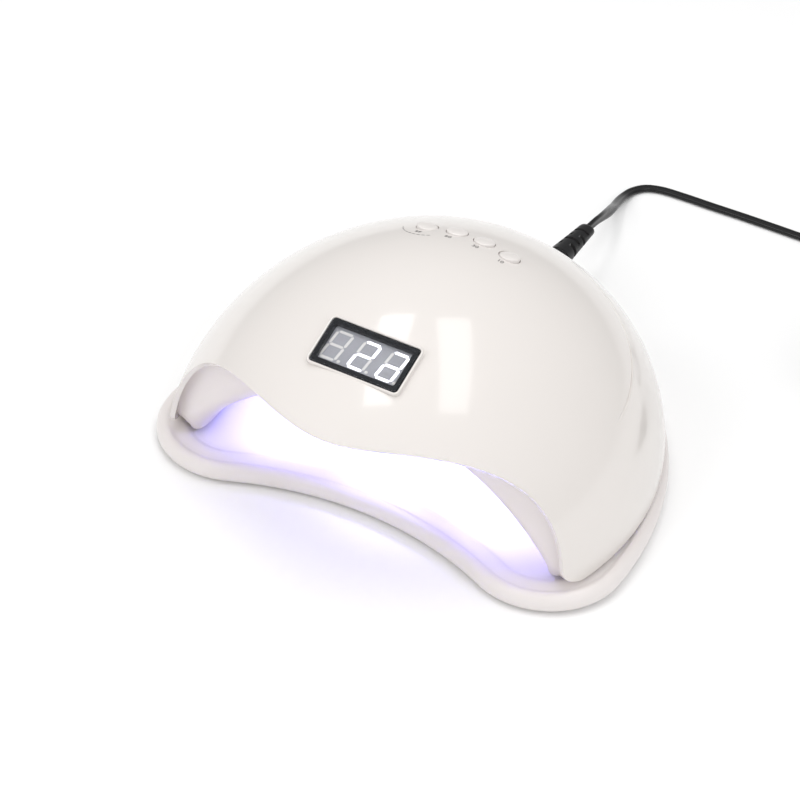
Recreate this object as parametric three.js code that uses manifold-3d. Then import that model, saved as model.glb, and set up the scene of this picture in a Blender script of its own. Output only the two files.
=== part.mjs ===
// Desktop UV LED nail lamp: a domed lamp head held by magnets on a tray that lifts away.
// Millimetres, +Z up, +Y to the rear. Origin: centre of the lamp's footprint, at the feet's underside.
import * as THREE from 'three';
import { mergeVertices } from 'three/addons/utils/BufferGeometryUtils.js';
import Module from 'manifold-3d';

const wasm = await Module();
wasm.setup();

// Gap kept between pieces that touch, and the reach of cuts that run right through.
const GAP = 0.3;
const FAR = 200;

// Lamp head: a flattened dome whose plan is an ellipse.
const DOME_HALF_WIDTH = 103;
const DOME_HALF_DEPTH = 116.6;
const DOME_HEIGHT = 92.2;
const DOME_POWER = 1.91;
const DOME_CENTRE_Y = -19;
const DOME_BASE_Z = 9.8;
const SHELL_WALL = 2.2;

// Front opening of the shell: an arch seen from the front, with a slight dip in its middle.
const ARCH_HALF_WIDTH = 94.2;
const ARCH_HEIGHT = 65;
const ARCH_SIDE_POWER = 3.2;
const ARCH_DIP = 2;
const ARCH_DIP_WIDTH = 30;
const TOE_FLARE = 3.5;
const TOE_HEIGHT = 9;

// White reflector inside the head: a tunnel at the front that ends in a half dome.
const LINER_HALF_WIDTH = 84;
const LINER_DEPTH = 98;
const LINER_HEIGHT = 57;
const LINER_POWER = 1.38;
const LINER_WALL = 1.6;
const FRONT_WALL_Y = -61;
const FLANGE_BOTTOM_Z = 12.2;

// Tray under the head: two round lobes at the front with a shallow notch between them.
const TRAY_HALF_WIDTH = 109.5;
const TRAY_CENTRE_Y = -36.1;
const TRAY_REAR_Y = 101.6;
const LOBE_RADIUS = 34.7;
const LOBE_START = THREE.MathUtils.degToRad(5);
const NOTCH_Y = -60.9;
const TRAY_BOTTOM_Z = 1.6;
const TRAY_TOP_Z = 9.2;
const TRAY_EDGE = 3;
const FLOOR_INSET = 9;
const FLOOR_Z = 7.4;

// Feet, magnets, keeper plates and screws stand on rings round the dome's centre.
const FOOT_RADIUS = 6;
const FOOT_HEIGHT = 2.2;
const FOOT_TAPER = 0.6;
const FEET = {
  front_left: [-76, -52],
  front_right: [76, -52],
  rear_left: [-58, 62],
  rear_right: [58, 62],
};
const MAGNET_RADIUS = 5;
const MAGNET_HEIGHT = 1.5;
const KEEPER_RADIUS = 5.6;
const KEEPER_HEIGHT = 1.4;
const RING_HALF_WIDTH = 94.6;
const RING_HALF_DEPTH = 106;
const MAGNET_ANGLES = { front_right: -10.3, rear_right: 52, rear_left: 128, front_left: 190.3 };
const SCREW_ANGLES = { right: 8, rear_right: 74, rear_left: 106, left: 172 };
const SCREW_RADIUS = 1.5;
const SCREW_HEAD_RADIUS = 2.8;
const SCREW_LENGTH = 9;
const BOSS_RADIUS = 3.6;
const BOSS_HEIGHT = 45;

// Display: a flat window with a three digit module and the control board behind it.
const DISPLAY_Y = -67.5;
const WINDOW_SIZE = [40, 21.6, 1.6];
const WINDOW_DROP = 0.2;
const MODULE_SIZE = [37.6, 19, 8];
const CONTROL_BOARD_SIZE = [62, 26, 1.6];
const CHIP_SIZE = [10, 7.5, 1.6];
const BUZZER_RADIUS = 4.5;
const BUZZER_HEIGHT = 5.5;
const BUZZER_PLACE = [20, 2];
const CAPACITOR_RADIUS = 3.1;
const CAPACITOR_HEIGHT = 6;
const CAPACITOR_PLACE = [-20, 3];

// Four push buttons behind the crest, above one board.
const BUTTONS = [
  { time: '99s', x: -19.4, y: 17.8 },
  { time: '60s', x: -6.4, y: 19.9 },
  { time: '30s', x: 6.4, y: 19.9 },
  { time: '10s', x: 19.4, y: 17.8 },
];
const BUTTON_RADIUS = 4.5;
const BUTTON_STEM_RADIUS = 2.2;
const BUTTON_CLEARANCE = 0.3;
const BUTTON_PROUD = 1;
const BUTTON_FLANGE_RADIUS = 5.6;
const BUTTON_FLANGE_HEIGHT = 0.9;
const BUTTON_FLANGE_DEPTH = 4.1;
const BUTTON_TRAVEL = 0.6;
const BUTTON_BOARD_DEPTH = 12;
const BUTTON_BOARD_SIZE = [56, 14, 1.6];
const SWITCH_SIZE = [6, 6, 3.4];
const PLUNGER_RADIUS = 1.7;
const PLUNGER_HEIGHT = 1.6;

// LED boards lie behind the reflector, each with four LEDs that look through its windows.
const LED_BOARDS = {
  ceiling_left: { azimuth: 180, elevation: 58, forward: 14 },
  ceiling_right: { azimuth: 0, elevation: 58, forward: 14 },
  ceiling_rear: { azimuth: 90, elevation: 66, forward: 0 },
  side_left: { azimuth: 180, elevation: 23, forward: 12 },
  side_right: { azimuth: 0, elevation: 23, forward: 12 },
  rear: { azimuth: 90, elevation: 34, forward: 0 },
};
const LED_BOARD_SIZE = [30, 30, 1.6];
const LED_BOARD_OFFSET = 3.2;
const LED_SPACING = 18;
const LED_RADIUS = 3;
const LED_DROP = 1;
const LED_WINDOW_RADIUS = 3.6;

// Hand sensor in the soffit under the visor.
const SENSOR_X = 8;
const SENSOR_Y = -86;
const SENSOR_RADIUS = 2.5;
const SENSOR_HEIGHT = 5;

// Power inlet in the rear wall, and what plugs into it.
const INLET_Z = 29;
const JACK_SIZE = [9, 10.6, 11];
const JACK_RECESS = 8.2;
const SOCKET_RADIUS = 3.2;
const SOCKET_DEPTH = 9.5;
const BARREL_RADIUS = 2.75;
const BARREL_LENGTH = 12;
const PLUG_RADIUS = 5.5;
const PLUG_START_Y = 96.2;
const PLUG_END_Y = 110;
const RELIEF_END_Y = 140.5;
const RELIEF_END_Z = 26.8;
const RELIEF_TIP_RADIUS = 3.7;
const RELIEF_FLATTENING = 0.3;

// Flat twin cord, its coil and the wall adapter.
const CORD_WIDTH = 4.6;
const CORD_THICKNESS = 2.3;
const CORD_ROUTE = [
  [0, 140.9, 26.8],
  [0, 148, 26],
  [-0.5, 156, 23.6],
  [-2, 166, 19.5],
  [-4.5, 177, 14.4],
  [-7.5, 188, 9],
  [-9.8, 198, 4.9],
  [-10.6, 206, 2.4],
  [-9.6, 212.5, 1.45],
  [-5.5, 218, 1.4],
  [1.5, 220.8, 1.4],
  [12, 221.6, 1.4],
  [28, 221.8, 1.4],
  [46, 222.2, 1.4],
  [64, 222.2, 1.4],
  [82, 222.1, 1.4],
  [95, 222, 1.5],
  [107.5, 222.1, 1.9],
];
const COIL_CENTRE = [124, 252];
const COIL_RADIUS = 26;
const COIL_BASE_Z = 1.3;
const COIL_TURN_PITCH = 2.6;
const COIL_LAYER_PITCH = 4.9;
const COIL_TURNS_PER_LAYER = 3;
const COIL_LAYERS = 2;
const COIL_WIDTH = (COIL_TURNS_PER_LAYER + 1) * COIL_TURN_PITCH;
const COIL_DEPTH = COIL_LAYERS * COIL_LAYER_PITCH;
const TIE_WIDTH = 7;
const TIE_THICKNESS = 0.8;
const TIE_BASE_Z = 0.1;
const TAIL_ROUTE = [
  [141.5, 223.4, 7.8],
  [148.5, 221.8, 7],
  [154.6, 217.6, 6.3],
  [158.8, 211, 5.9],
  [160.7, 203.6, 5.8],
  [161, 196.6, 5.8],
];
const ADAPTER_SIZE = [40, 62, 28];
const ADAPTER_CENTRE = [161, 143];
const ADAPTER_CORNER = 5;
const ADAPTER_EDGE = 1.5;
const ADAPTER_BASE_Z = 0.2;
const ADAPTER_RELIEF = 22;
const ADAPTER_RELIEF_RADII = [4.2, 2.9];
const ADAPTER_CORD_Z = 5.8;
const BLADE_SPACING = 12.7;
const BLADE_SIZE = [1.5, 16, 6.3];

const ABS_WHITE = new THREE.MeshStandardMaterial({ color: '#f3efec', roughness: 0.22, metalness: 0 });
const TRAY_WHITE = new THREE.MeshStandardMaterial({ color: '#eee4e2', roughness: 0.4, metalness: 0 });
const LINER_WHITE = new THREE.MeshStandardMaterial({ color: '#f6f4fa', roughness: 0.35, metalness: 0 });
const SMOKED_ACRYLIC = new THREE.MeshStandardMaterial({ color: '#15161a', roughness: 0.08, metalness: 0 });
const DISPLAY_GREY = new THREE.MeshStandardMaterial({ color: '#8d8d90', roughness: 0.5, metalness: 0 });
const BOARD_GREEN = new THREE.MeshStandardMaterial({ color: '#1f5a3a', roughness: 0.5, metalness: 0 });
const BOARD_WHITE = new THREE.MeshStandardMaterial({ color: '#e9ebec', roughness: 0.45, metalness: 0.2 });
const BLACK_PLASTIC = new THREE.MeshStandardMaterial({ color: '#17181a', roughness: 0.45, metalness: 0 });
const BLACK_RUBBER = new THREE.MeshStandardMaterial({ color: '#1b1c1e', roughness: 0.6, metalness: 0 });
const FOOT_RUBBER = new THREE.MeshStandardMaterial({ color: '#3a3b3e', roughness: 0.8, metalness: 0 });
const STEEL = new THREE.MeshStandardMaterial({ color: '#b9bcc0', roughness: 0.35, metalness: 1 });
const NICKEL = new THREE.MeshStandardMaterial({ color: '#c9cacc', roughness: 0.2, metalness: 1 });

// ---------------------------------------------------------------- solids

/** A closed geometry as a solid, without the triangles that have no area. */
function solidOf(geometry) {
  const bare = geometry.clone();
  bare.deleteAttribute('normal');
  bare.deleteAttribute('uv');
  const merged = mergeVertices(bare, 1e-4);
  const index = merged.index.array;
  const triangles = [];
  for (let i = 0; i < index.length; i += 3) {
    const [a, b, c] = [index[i], index[i + 1], index[i + 2]];
    if (a !== b && b !== c && c !== a) triangles.push(a, b, c);
  }
  return new wasm.Manifold(new wasm.Mesh({
    numProp: 3,
    vertProperties: new Float32Array(merged.attributes.position.array),
    triVerts: new Uint32Array(triangles),
  }));
}

/** A solid as a geometry that a mesh can carry. */
function geometryOf(solid) {
  const { vertProperties, triVerts } = solid.getMesh();
  const geometry = new THREE.BufferGeometry();
  geometry.setAttribute('position', new THREE.BufferAttribute(vertProperties, 3));
  geometry.setIndex(new THREE.BufferAttribute(triVerts, 1));
  geometry.computeVertexNormals();
  return geometry;
}

/** A box from its two opposite corners. */
function boxBetween(low, high) {
  const size = high.map((value, axis) => value - low[axis]);
  const middle = high.map((value, axis) => (value + low[axis]) / 2);
  return new THREE.BoxGeometry(...size).translate(...middle);
}

/** An upright cylinder from z0 to z1. */
/** A slab that reaches far past the lamp, between two places on one axis. */
function slab(axis, start, end) {
  const low = { x: -FAR, y: -FAR, z: -FAR, [axis]: start };
  const high = { x: FAR, y: FAR, z: FAR, [axis]: end };
  return solidOf(boxBetween([low.x, low.y, low.z], [high.x, high.y, high.z]));
}

function upright(radius, z0, z1, segments = 24, topRadius = radius) {
  const geometry = new THREE.CylinderGeometry(topRadius, radius, z1 - z0, segments);
  return geometry.rotateX(Math.PI / 2).translate(0, 0, (z0 + z1) / 2);
}

/** A shape drawn in plan, extruded upwards from z0 to z1. */
function extrudeUp(shape, z0, z1, edge = 0, segments = 9) {
  const options = {
    depth: z1 - z0 - 2 * edge,
    curveSegments: segments,
    bevelEnabled: edge > 0,
    bevelThickness: edge,
    bevelSize: edge,
    bevelOffset: -edge,
    bevelSegments: 2,
  };
  return new THREE.ExtrudeGeometry(shape, options).translate(0, 0, z0 + edge);
}

/** A shape drawn as seen from the front (x across, y up), extruded along Y from y0 to y1. */
function extrudeBack(shape, y0, y1) {
  const geometry = new THREE.ExtrudeGeometry(shape, { depth: y1 - y0, bevelEnabled: false });
  return geometry.rotateX(Math.PI / 2).translate(0, y1, 0);
}

// ---------------------------------------------------------------- curved surfaces

const OUTER = {
  width: DOME_HALF_WIDTH,
  depth: DOME_HALF_DEPTH,
  height: DOME_HEIGHT,
  power: DOME_POWER,
};
const CAVITY = {
  width: LINER_HALF_WIDTH,
  depth: LINER_DEPTH,
  height: LINER_HEIGHT,
  power: LINER_POWER,
};
const INNER = grownDome(OUTER, -SHELL_WALL);
const LINER_OUTER = grownDome(CAVITY, LINER_WALL);

/** A dome of the same kind whose three radii are larger by an amount. */
function grownDome(dome, amount) {
  return {
    width: dome.width + amount,
    depth: dome.depth + amount,
    height: dome.height + amount,
    power: dome.power,
  };
}

/** Distance from the dome's centre to its surface along a unit direction. */
function domeReach(direction, dome) {
  const plan = (direction.x / dome.width) ** 2 + (direction.y / dome.depth) ** 2;
  const rise = Math.abs(direction.z / dome.height) ** dome.power;
  return (plan ** (dome.power / 2) + rise) ** (-1 / dome.power);
}

/** Outward normal of a dome at a point given from the dome's centre. */
function domeNormal(point, dome) {
  const plan = (point.x / dome.width) ** 2 + (point.y / dome.depth) ** 2;
  const slope = plan ** (dome.power / 2 - 1);
  const rise = Math.abs(point.z / dome.height) ** (dome.power - 1) / dome.height;
  return new THREE.Vector3(
    slope * point.x / dome.width ** 2,
    slope * point.y / dome.depth ** 2,
    rise,
  ).normalize();
}

/** A point on a dome above the plan position x, y. */
function domePointAbove(x, y, dome) {
  const plan = (x / dome.width) ** 2 + ((y - DOME_CENTRE_Y) / dome.depth) ** 2;
  const rise = (1 - plan ** (dome.power / 2)) ** (1 / dome.power);
  const local = new THREE.Vector3(x, y - DOME_CENTRE_Y, rise * dome.height);
  return { point: fromCentre(local), normal: domeNormal(local, dome) };
}

/** A point on a dome in the direction of an azimuth and an elevation, in degrees. */
function domePointToward(azimuth, elevation, dome) {
  const direction = new THREE.Vector3().setFromSphericalCoords(
    1,
    THREE.MathUtils.degToRad(90 - elevation),
    THREE.MathUtils.degToRad(azimuth + 90),
  );
  const local = new THREE.Vector3(direction.x, -direction.z, direction.y);
  local.multiplyScalar(domeReach(local, dome));
  return { point: fromCentre(local), normal: domeNormal(local, dome) };
}

function fromCentre(local) {
  return new THREE.Vector3(local.x, local.y + DOME_CENTRE_Y, local.z + DOME_BASE_Z);
}

/** A whole closed dome and its mirror image below the base plane. */
function domeSolid(dome, around = 48, rows = 24) {
  const geometry = new THREE.SphereGeometry(1, around, rows).rotateX(Math.PI / 2);
  const position = geometry.attributes.position;
  const vertex = new THREE.Vector3();
  for (let i = 0; i < position.count; i += 1) {
    vertex.fromBufferAttribute(position, i).normalize();
    vertex.multiplyScalar(domeReach(vertex, dome));
    vertex.copy(fromCentre(vertex));
    position.setXYZ(i, vertex.x, vertex.y, vertex.z);
  }
  return solidOf(geometry);
}

/** The tunnel's section seen from the front, down to below the base. */
function sectionShape(dome, steps = 20) {
  const shape = new THREE.Shape();
  shape.moveTo(-dome.width, 0);
  shape.lineTo(dome.width, 0);
  for (let i = 0; i <= steps; i += 1) {
    const angle = (Math.PI * i) / steps;
    const reach = domeReach(new THREE.Vector3(Math.cos(angle), 0, Math.sin(angle)), dome);
    shape.lineTo(reach * Math.cos(angle), DOME_BASE_Z + reach * Math.sin(angle));
  }
  return shape;
}

/** The reflector's surface: a half dome at the rear, run straight forward to the front wall. */
function tunnelSolid(dome, around = 40, rows = 20) {
  const tunnel = solidOf(extrudeBack(sectionShape(dome, rows), FRONT_WALL_Y - 5, DOME_CENTRE_Y + 0.5));
  const rear = domeSolid(dome, around, rows);
  return rear.subtract(slab('y', -FAR, DOME_CENTRE_Y)).add(tunnel);
}

/** Height of the front opening at a distance from the middle. */
function archHeight(x) {
  const side = 1 - Math.abs(x / ARCH_HALF_WIDTH) ** ARCH_SIDE_POWER;
  const dip = ARCH_DIP * Math.exp(-((x / ARCH_DIP_WIDTH) ** 2));
  return DOME_BASE_Z + ARCH_HEIGHT * Math.sqrt(Math.max(side, 0)) - dip;
}

/** How far the opening widens near its foot, which rounds off the toe of each leg. */
function toeFlare(z) {
  return TOE_FLARE * Math.max(0, 1 - (z - DOME_BASE_Z) / TOE_HEIGHT) ** 2;
}

/** The opening's outline seen from the front, down to below the tray, made smaller by an inset. */
function archShape(inset, steps = 48) {
  const shape = new THREE.Shape();
  const foot = ARCH_HALF_WIDTH + TOE_FLARE - inset;
  shape.moveTo(-foot, -inset);
  shape.lineTo(foot, -inset);
  for (let i = 0; i <= steps; i += 1) {
    const turn = Math.cos((Math.PI * i) / steps);
    const x = ARCH_HALF_WIDTH * Math.sign(turn) * Math.abs(turn) ** (2 / ARCH_SIDE_POWER);
    const z = archHeight(x);
    shape.lineTo(x + Math.sign(turn) * (toeFlare(z) - inset * Math.abs(turn)), z - inset);
  }
  return shape;
}

// ---------------------------------------------------------------- placing

const lamp = new THREE.Group();
const tray = new THREE.Group();
const head = new THREE.Group();
const mains = new THREE.Group();
lamp.add(tray, head, mains);

function addPiece(parent, name, geometry, material) {
  const mesh = new THREE.Mesh(geometry, material);
  mesh.name = name;
  parent.add(mesh);
  return mesh;
}

/** A group whose +Z stands along a surface normal at a point. */
function standingOn({ point, normal }, parent) {
  const group = new THREE.Group();
  group.position.copy(point);
  group.quaternion.setFromUnitVectors(new THREE.Vector3(0, 0, 1), normal);
  parent.add(group);
  return group;
}

/** A geometry moved from a surface place into the lamp's own frame, to cut with. */
function asPlaced(geometry, { point, normal }) {
  const turn = new THREE.Quaternion().setFromUnitVectors(new THREE.Vector3(0, 0, 1), normal);
  const matrix = new THREE.Matrix4().compose(point, turn, new THREE.Vector3(1, 1, 1));
  return geometry.applyMatrix4(matrix);
}

function ringPoint(angle) {
  const radians = THREE.MathUtils.degToRad(angle);
  return [RING_HALF_WIDTH * Math.cos(radians), DOME_CENTRE_Y + RING_HALF_DEPTH * Math.sin(radians)];
}

// ---------------------------------------------------------------- tray

/** The tray's plan: a rear half ellipse, two lobes and the notch, each arc tangent to the next. */
function trayShape(inset) {
  const rearRadius = TRAY_HALF_WIDTH - inset;
  const rearDepth = TRAY_REAR_Y - TRAY_CENTRE_Y - inset;
  const lobeX = (TRAY_HALF_WIDTH - LOBE_RADIUS) * Math.cos(LOBE_START);
  const lobeY = TRAY_CENTRE_Y - (TRAY_HALF_WIDTH - LOBE_RADIUS) * Math.sin(LOBE_START);
  const drop = lobeY - NOTCH_Y;
  const notchRadius = (lobeX ** 2 + drop ** 2 - LOBE_RADIUS ** 2) / (2 * (LOBE_RADIUS - drop));
  const notchY = NOTCH_Y - notchRadius;
  const lean = Math.atan2(lobeY - notchY, lobeX);
  const lobe = LOBE_RADIUS - inset;
  const notch = notchRadius + inset;
  const shape = new THREE.Shape();
  shape.absarc(0, TRAY_CENTRE_Y, rearRadius, -LOBE_START, 0, false);
  shape.absellipse(0, TRAY_CENTRE_Y, rearRadius, rearDepth, 0, Math.PI, false, 0);
  shape.absarc(0, TRAY_CENTRE_Y, rearRadius, Math.PI, Math.PI + LOBE_START, false);
  shape.absarc(-lobeX, lobeY, lobe, Math.PI + LOBE_START, 2 * Math.PI - lean, false);
  shape.absarc(0, notchY, notch, Math.PI - lean, lean, true);
  shape.absarc(lobeX, lobeY, lobe, Math.PI + lean, 2 * Math.PI - LOBE_START, false);
  return shape;
}

function makeTray() {
  let solid = solidOf(extrudeUp(trayShape(0), TRAY_BOTTOM_Z, TRAY_TOP_Z, TRAY_EDGE));
  solid = solid.subtract(solidOf(extrudeUp(trayShape(FLOOR_INSET), FLOOR_Z, TRAY_TOP_Z + 5)));
  for (const angle of Object.values(MAGNET_ANGLES)) {
    const [x, y] = ringPoint(angle);
    const pad = upright(KEEPER_RADIUS + 2.4, FLOOR_Z - 1, TRAY_TOP_Z, 20).translate(x, y, 0);
    const pocketFloor = TRAY_TOP_Z - KEEPER_HEIGHT - GAP;
    const pocket = upright(KEEPER_RADIUS + GAP, pocketFloor, TRAY_TOP_Z + 1, 20).translate(x, y, 0);
    solid = solid.add(solidOf(pad)).subtract(solidOf(pocket));
  }
  for (const [x, y] of Object.values(FEET)) {
    const pocket = upright(FOOT_RADIUS + GAP, 0, FOOT_HEIGHT + GAP, 20).translate(x, y, 0);
    solid = solid.subtract(solidOf(pocket));
  }
  addPiece(tray, 'base_tray', geometryOf(solid.simplify(0.01)), TRAY_WHITE);
}

function makeFeet() {
  for (const [place, [x, y]] of Object.entries(FEET)) {
    const pad = upright(FOOT_RADIUS - FOOT_TAPER, 0, FOOT_HEIGHT, 20, FOOT_RADIUS);
    const foot = addPiece(tray, `foot_${place}`, pad, FOOT_RUBBER);
    foot.position.set(x, y, 0);
  }
}

function makeKeeperPlates() {
  for (const [place, angle] of Object.entries(MAGNET_ANGLES)) {
    const [x, y] = ringPoint(angle);
    const disc = upright(KEEPER_RADIUS, 0, KEEPER_HEIGHT, 20);
    const plate = addPiece(tray, `keeper_plate_${place}`, disc, STEEL);
    plate.position.set(x, y, TRAY_TOP_Z - KEEPER_HEIGHT);
  }
}

// ---------------------------------------------------------------- head covers

const WINDOW_PLACE = domePointAbove(0, DISPLAY_Y, OUTER);
const BUTTON_BOARD_PLACE = domePointAbove(0, BUTTONS[1].y, OUTER);
const BUTTON_PLACES = BUTTONS.map(({ x, y }) => ({
  point: domePointAbove(x, y, OUTER).point,
  normal: BUTTON_BOARD_PLACE.normal,
}));

function inletHole(radius) {
  const geometry = new THREE.CylinderGeometry(radius, radius, 40, 24);
  return geometry.translate(0, DOME_CENTRE_Y + DOME_HALF_DEPTH, INLET_Z);
}

function makeOuterShell() {
  const outer = domeSolid(OUTER);
  let solid = outer.subtract(domeSolid(INNER));
  for (const angle of Object.values(SCREW_ANGLES)) {
    const [x, y] = ringPoint(angle);
    const bottom = FLANGE_BOTTOM_Z + LINER_WALL + GAP;
    const boss = solidOf(upright(BOSS_RADIUS, bottom, bottom + BOSS_HEIGHT, 16).translate(x, y, 0));
    const bore = solidOf(upright(SCREW_RADIUS + GAP, 0, bottom + SCREW_LENGTH, 16).translate(x, y, 0));
    solid = solid.add(outer.intersect(boss)).subtract(bore);
  }
  solid = solid.subtract(slab('z', -FAR, DOME_BASE_Z));
  solid = solid.subtract(solidOf(extrudeBack(archShape(0), -FAR, DOME_CENTRE_Y)));
  const [width, depth] = WINDOW_SIZE.map((size) => size + 2 * GAP);
  solid = solid.subtract(solidOf(asPlaced(new THREE.BoxGeometry(width, depth, 30), WINDOW_PLACE)));
  for (const place of BUTTON_PLACES) {
    const hole = upright(BUTTON_RADIUS + BUTTON_CLEARANCE, -10, 10);
    solid = solid.subtract(solidOf(asPlaced(hole, place)));
  }
  solid = solid.subtract(solidOf(inletHole(PLUG_RADIUS + GAP)));
  addPiece(head, 'outer_shell', geometryOf(solid.simplify(0.01)), ABS_WHITE);
}

/** Everything that lies inside the outer shell's wall. */
function shellInterior() {
  const room = domeSolid(grownDome(INNER, -GAP), 40, 20);
  return room.subtract(slab('z', -FAR, DOME_BASE_Z + GAP));
}

function makeInnerReflector() {
  const interior = shellInterior();
  const wall = LINER_WALL;
  const seam = FRONT_WALL_Y + wall / 2;
  const flange = slab('z', FLANGE_BOTTOM_Z, FLANGE_BOTTOM_Z + wall);
  const frontWall = slab('y', FRONT_WALL_Y, FRONT_WALL_Y + wall);
  const belowLip = solidOf(extrudeBack(archShape(GAP), -FAR + 10, 0));
  const belowSoffit = solidOf(extrudeBack(archShape(GAP + wall), -FAR, FRONT_WALL_Y));
  const soffit = belowLip.subtract(belowSoffit).intersect(slab('y', -FAR, seam));
  const rearParts = tunnelSolid(LINER_OUTER).add(flange).intersect(slab('y', seam, FAR));
  const parts = rearParts.add(frontWall.intersect(belowLip)).add(soffit);
  let solid = parts.intersect(interior).subtract(tunnelSolid(CAVITY));
  for (const angle of Object.values(SCREW_ANGLES)) {
    const [x, y] = ringPoint(angle);
    solid = solid.subtract(solidOf(upright(SCREW_RADIUS + GAP, 0, 20, 16).translate(x, y, 0)));
  }
  for (const place of Object.values(ledBoardPlaces())) {
    for (const [x, y] of ledOffsets()) {
      const window = upright(LED_WINDOW_RADIUS, -12, 6, 12).translate(x, y, 0);
      solid = solid.subtract(solidOf(asPlaced(window, place)));
    }
  }
  for (const x of [-SENSOR_X, SENSOR_X]) {
    const hole = upright(SENSOR_RADIUS + GAP, 50, 100, 12).translate(x, SENSOR_Y, 0);
    solid = solid.subtract(solidOf(hole));
  }
  addPiece(head, 'inner_reflector', geometryOf(solid.simplify(0.01)), LINER_WHITE);
}

function makeScrews() {
  for (const [place, angle] of Object.entries(SCREW_ANGLES)) {
    const [x, y] = ringPoint(angle);
    const seat = FLANGE_BOTTOM_Z - GAP;
    const headBody = solidOf(upright(SCREW_HEAD_RADIUS, seat - 1.6, seat, 20));
    const shank = solidOf(upright(SCREW_RADIUS, seat - 0.2, seat + SCREW_LENGTH, 12));
    const slot = solidOf(boxBetween([-2, -0.4, seat - 2], [2, 0.4, seat - 0.9]));
    const crossSlot = solidOf(boxBetween([-0.4, -2, seat - 2], [0.4, 2, seat - 0.9]));
    const solid = headBody.add(shank).subtract(slot.add(crossSlot));
    const screw = addPiece(head, `screw_${place}`, geometryOf(solid), STEEL);
    screw.position.set(x, y, 0);
  }
}

function makeMagnets() {
  for (const [place, angle] of Object.entries(MAGNET_ANGLES)) {
    const [x, y] = ringPoint(angle);
    const magnet = addPiece(head, `magnet_${place}`, upright(MAGNET_RADIUS, 0, MAGNET_HEIGHT, 20), NICKEL);
    magnet.position.set(x, y, FLANGE_BOTTOM_Z - GAP - MAGNET_HEIGHT);
  }
}

// ---------------------------------------------------------------- display and electronics

/** A plate centred on x and y, with its top at z. */
function plateBelow([width, depth, height], z) {
  return new THREE.BoxGeometry(width, depth, height).translate(0, 0, z - height / 2);
}

function makeDisplay() {
  const place = standingOn(WINDOW_PLACE, head);
  const windowTop = -WINDOW_DROP;
  const moduleTop = windowTop - WINDOW_SIZE[2] - GAP;
  const boardTop = moduleTop - MODULE_SIZE[2] - GAP;
  const boardBottom = boardTop - CONTROL_BOARD_SIZE[2] - GAP;
  addPiece(place, 'display_window', plateBelow(WINDOW_SIZE, windowTop), SMOKED_ACRYLIC);
  addPiece(place, 'digit_module', plateBelow(MODULE_SIZE, moduleTop), DISPLAY_GREY);
  addPiece(place, 'control_board', plateBelow(CONTROL_BOARD_SIZE, boardTop), BOARD_GREEN);
  addPiece(place, 'controller_chip', plateBelow(CHIP_SIZE, boardBottom), BLACK_PLASTIC);
  const buzzerBody = upright(BUZZER_RADIUS, boardBottom - BUZZER_HEIGHT, boardBottom, 20);
  const buzzer = addPiece(place, 'buzzer', buzzerBody, BLACK_PLASTIC);
  buzzer.position.set(...BUZZER_PLACE, 0);
  const can = upright(CAPACITOR_RADIUS, boardBottom - CAPACITOR_HEIGHT, boardBottom, 16);
  const capacitor = addPiece(place, 'capacitor', can, NICKEL);
  capacitor.position.set(...CAPACITOR_PLACE, 0);
}

function makeButtonBoard() {
  const place = standingOn(BUTTON_BOARD_PLACE, head);
  const board = plateBelow(BUTTON_BOARD_SIZE, -BUTTON_BOARD_DEPTH);
  addPiece(place, 'button_board', board, BOARD_GREEN);
}

/** Depth of the button board's top below a button's place on the shell. */
function boardDepthUnder({ point }) {
  const offset = point.clone().sub(BUTTON_BOARD_PLACE.point);
  return BUTTON_BOARD_DEPTH + offset.dot(BUTTON_BOARD_PLACE.normal);
}

/** The cap: a domed disc on a wider flange that keeps it in the shell, on a stem. */
function buttonCapProfile(stemBottom) {
  const flangeTop = -BUTTON_FLANGE_DEPTH;
  const rim = BUTTON_PROUD - 0.6;
  return [
    new THREE.Vector2(0, stemBottom),
    new THREE.Vector2(BUTTON_STEM_RADIUS, stemBottom),
    new THREE.Vector2(BUTTON_STEM_RADIUS, flangeTop - BUTTON_FLANGE_HEIGHT),
    new THREE.Vector2(BUTTON_FLANGE_RADIUS, flangeTop - BUTTON_FLANGE_HEIGHT),
    new THREE.Vector2(BUTTON_FLANGE_RADIUS, flangeTop),
    new THREE.Vector2(BUTTON_RADIUS, flangeTop),
    new THREE.Vector2(BUTTON_RADIUS, rim),
    new THREE.Vector2(BUTTON_RADIUS - 0.4, rim + 0.35),
    new THREE.Vector2(BUTTON_RADIUS / 2, BUTTON_PROUD - 0.05),
    new THREE.Vector2(0, BUTTON_PROUD),
  ];
}

function makeButtons() {
  BUTTONS.forEach(({ time }, index) => {
    const place = standingOn(BUTTON_PLACES[index], head);
    const boardTop = -boardDepthUnder(BUTTON_PLACES[index]);
    const switchTop = boardTop + GAP + SWITCH_SIZE[2];
    const plungerBottom = switchTop + BUTTON_TRAVEL + GAP;
    const plungerTop = plungerBottom + PLUNGER_HEIGHT;
    const cap = new THREE.LatheGeometry(buttonCapProfile(plungerTop + GAP), 20).rotateX(Math.PI / 2);
    addPiece(place, `switch_${time}`, plateBelow(SWITCH_SIZE, switchTop), BLACK_PLASTIC);
    const plunger = upright(PLUNGER_RADIUS, plungerBottom, plungerTop, 16);
    addPiece(place, `plunger_${time}`, plunger, BLACK_PLASTIC);
    addPiece(place, `button_${time}`, geometryOf(solidOf(cap)), ABS_WHITE);
  });
}

function ledBoardPlaces() {
  const entries = Object.entries(LED_BOARDS);
  return Object.fromEntries(entries.map(([name, { azimuth, elevation, forward }]) => {
    const place = domePointToward(azimuth, elevation, LINER_OUTER);
    place.point.y -= forward;
    return [name, place];
  }));
}

/** Where the four LEDs of a board stand from its middle. */
function ledOffsets() {
  const half = LED_SPACING / 2;
  return [[-half, -half], [half, -half], [-half, half], [half, half]];
}

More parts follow.
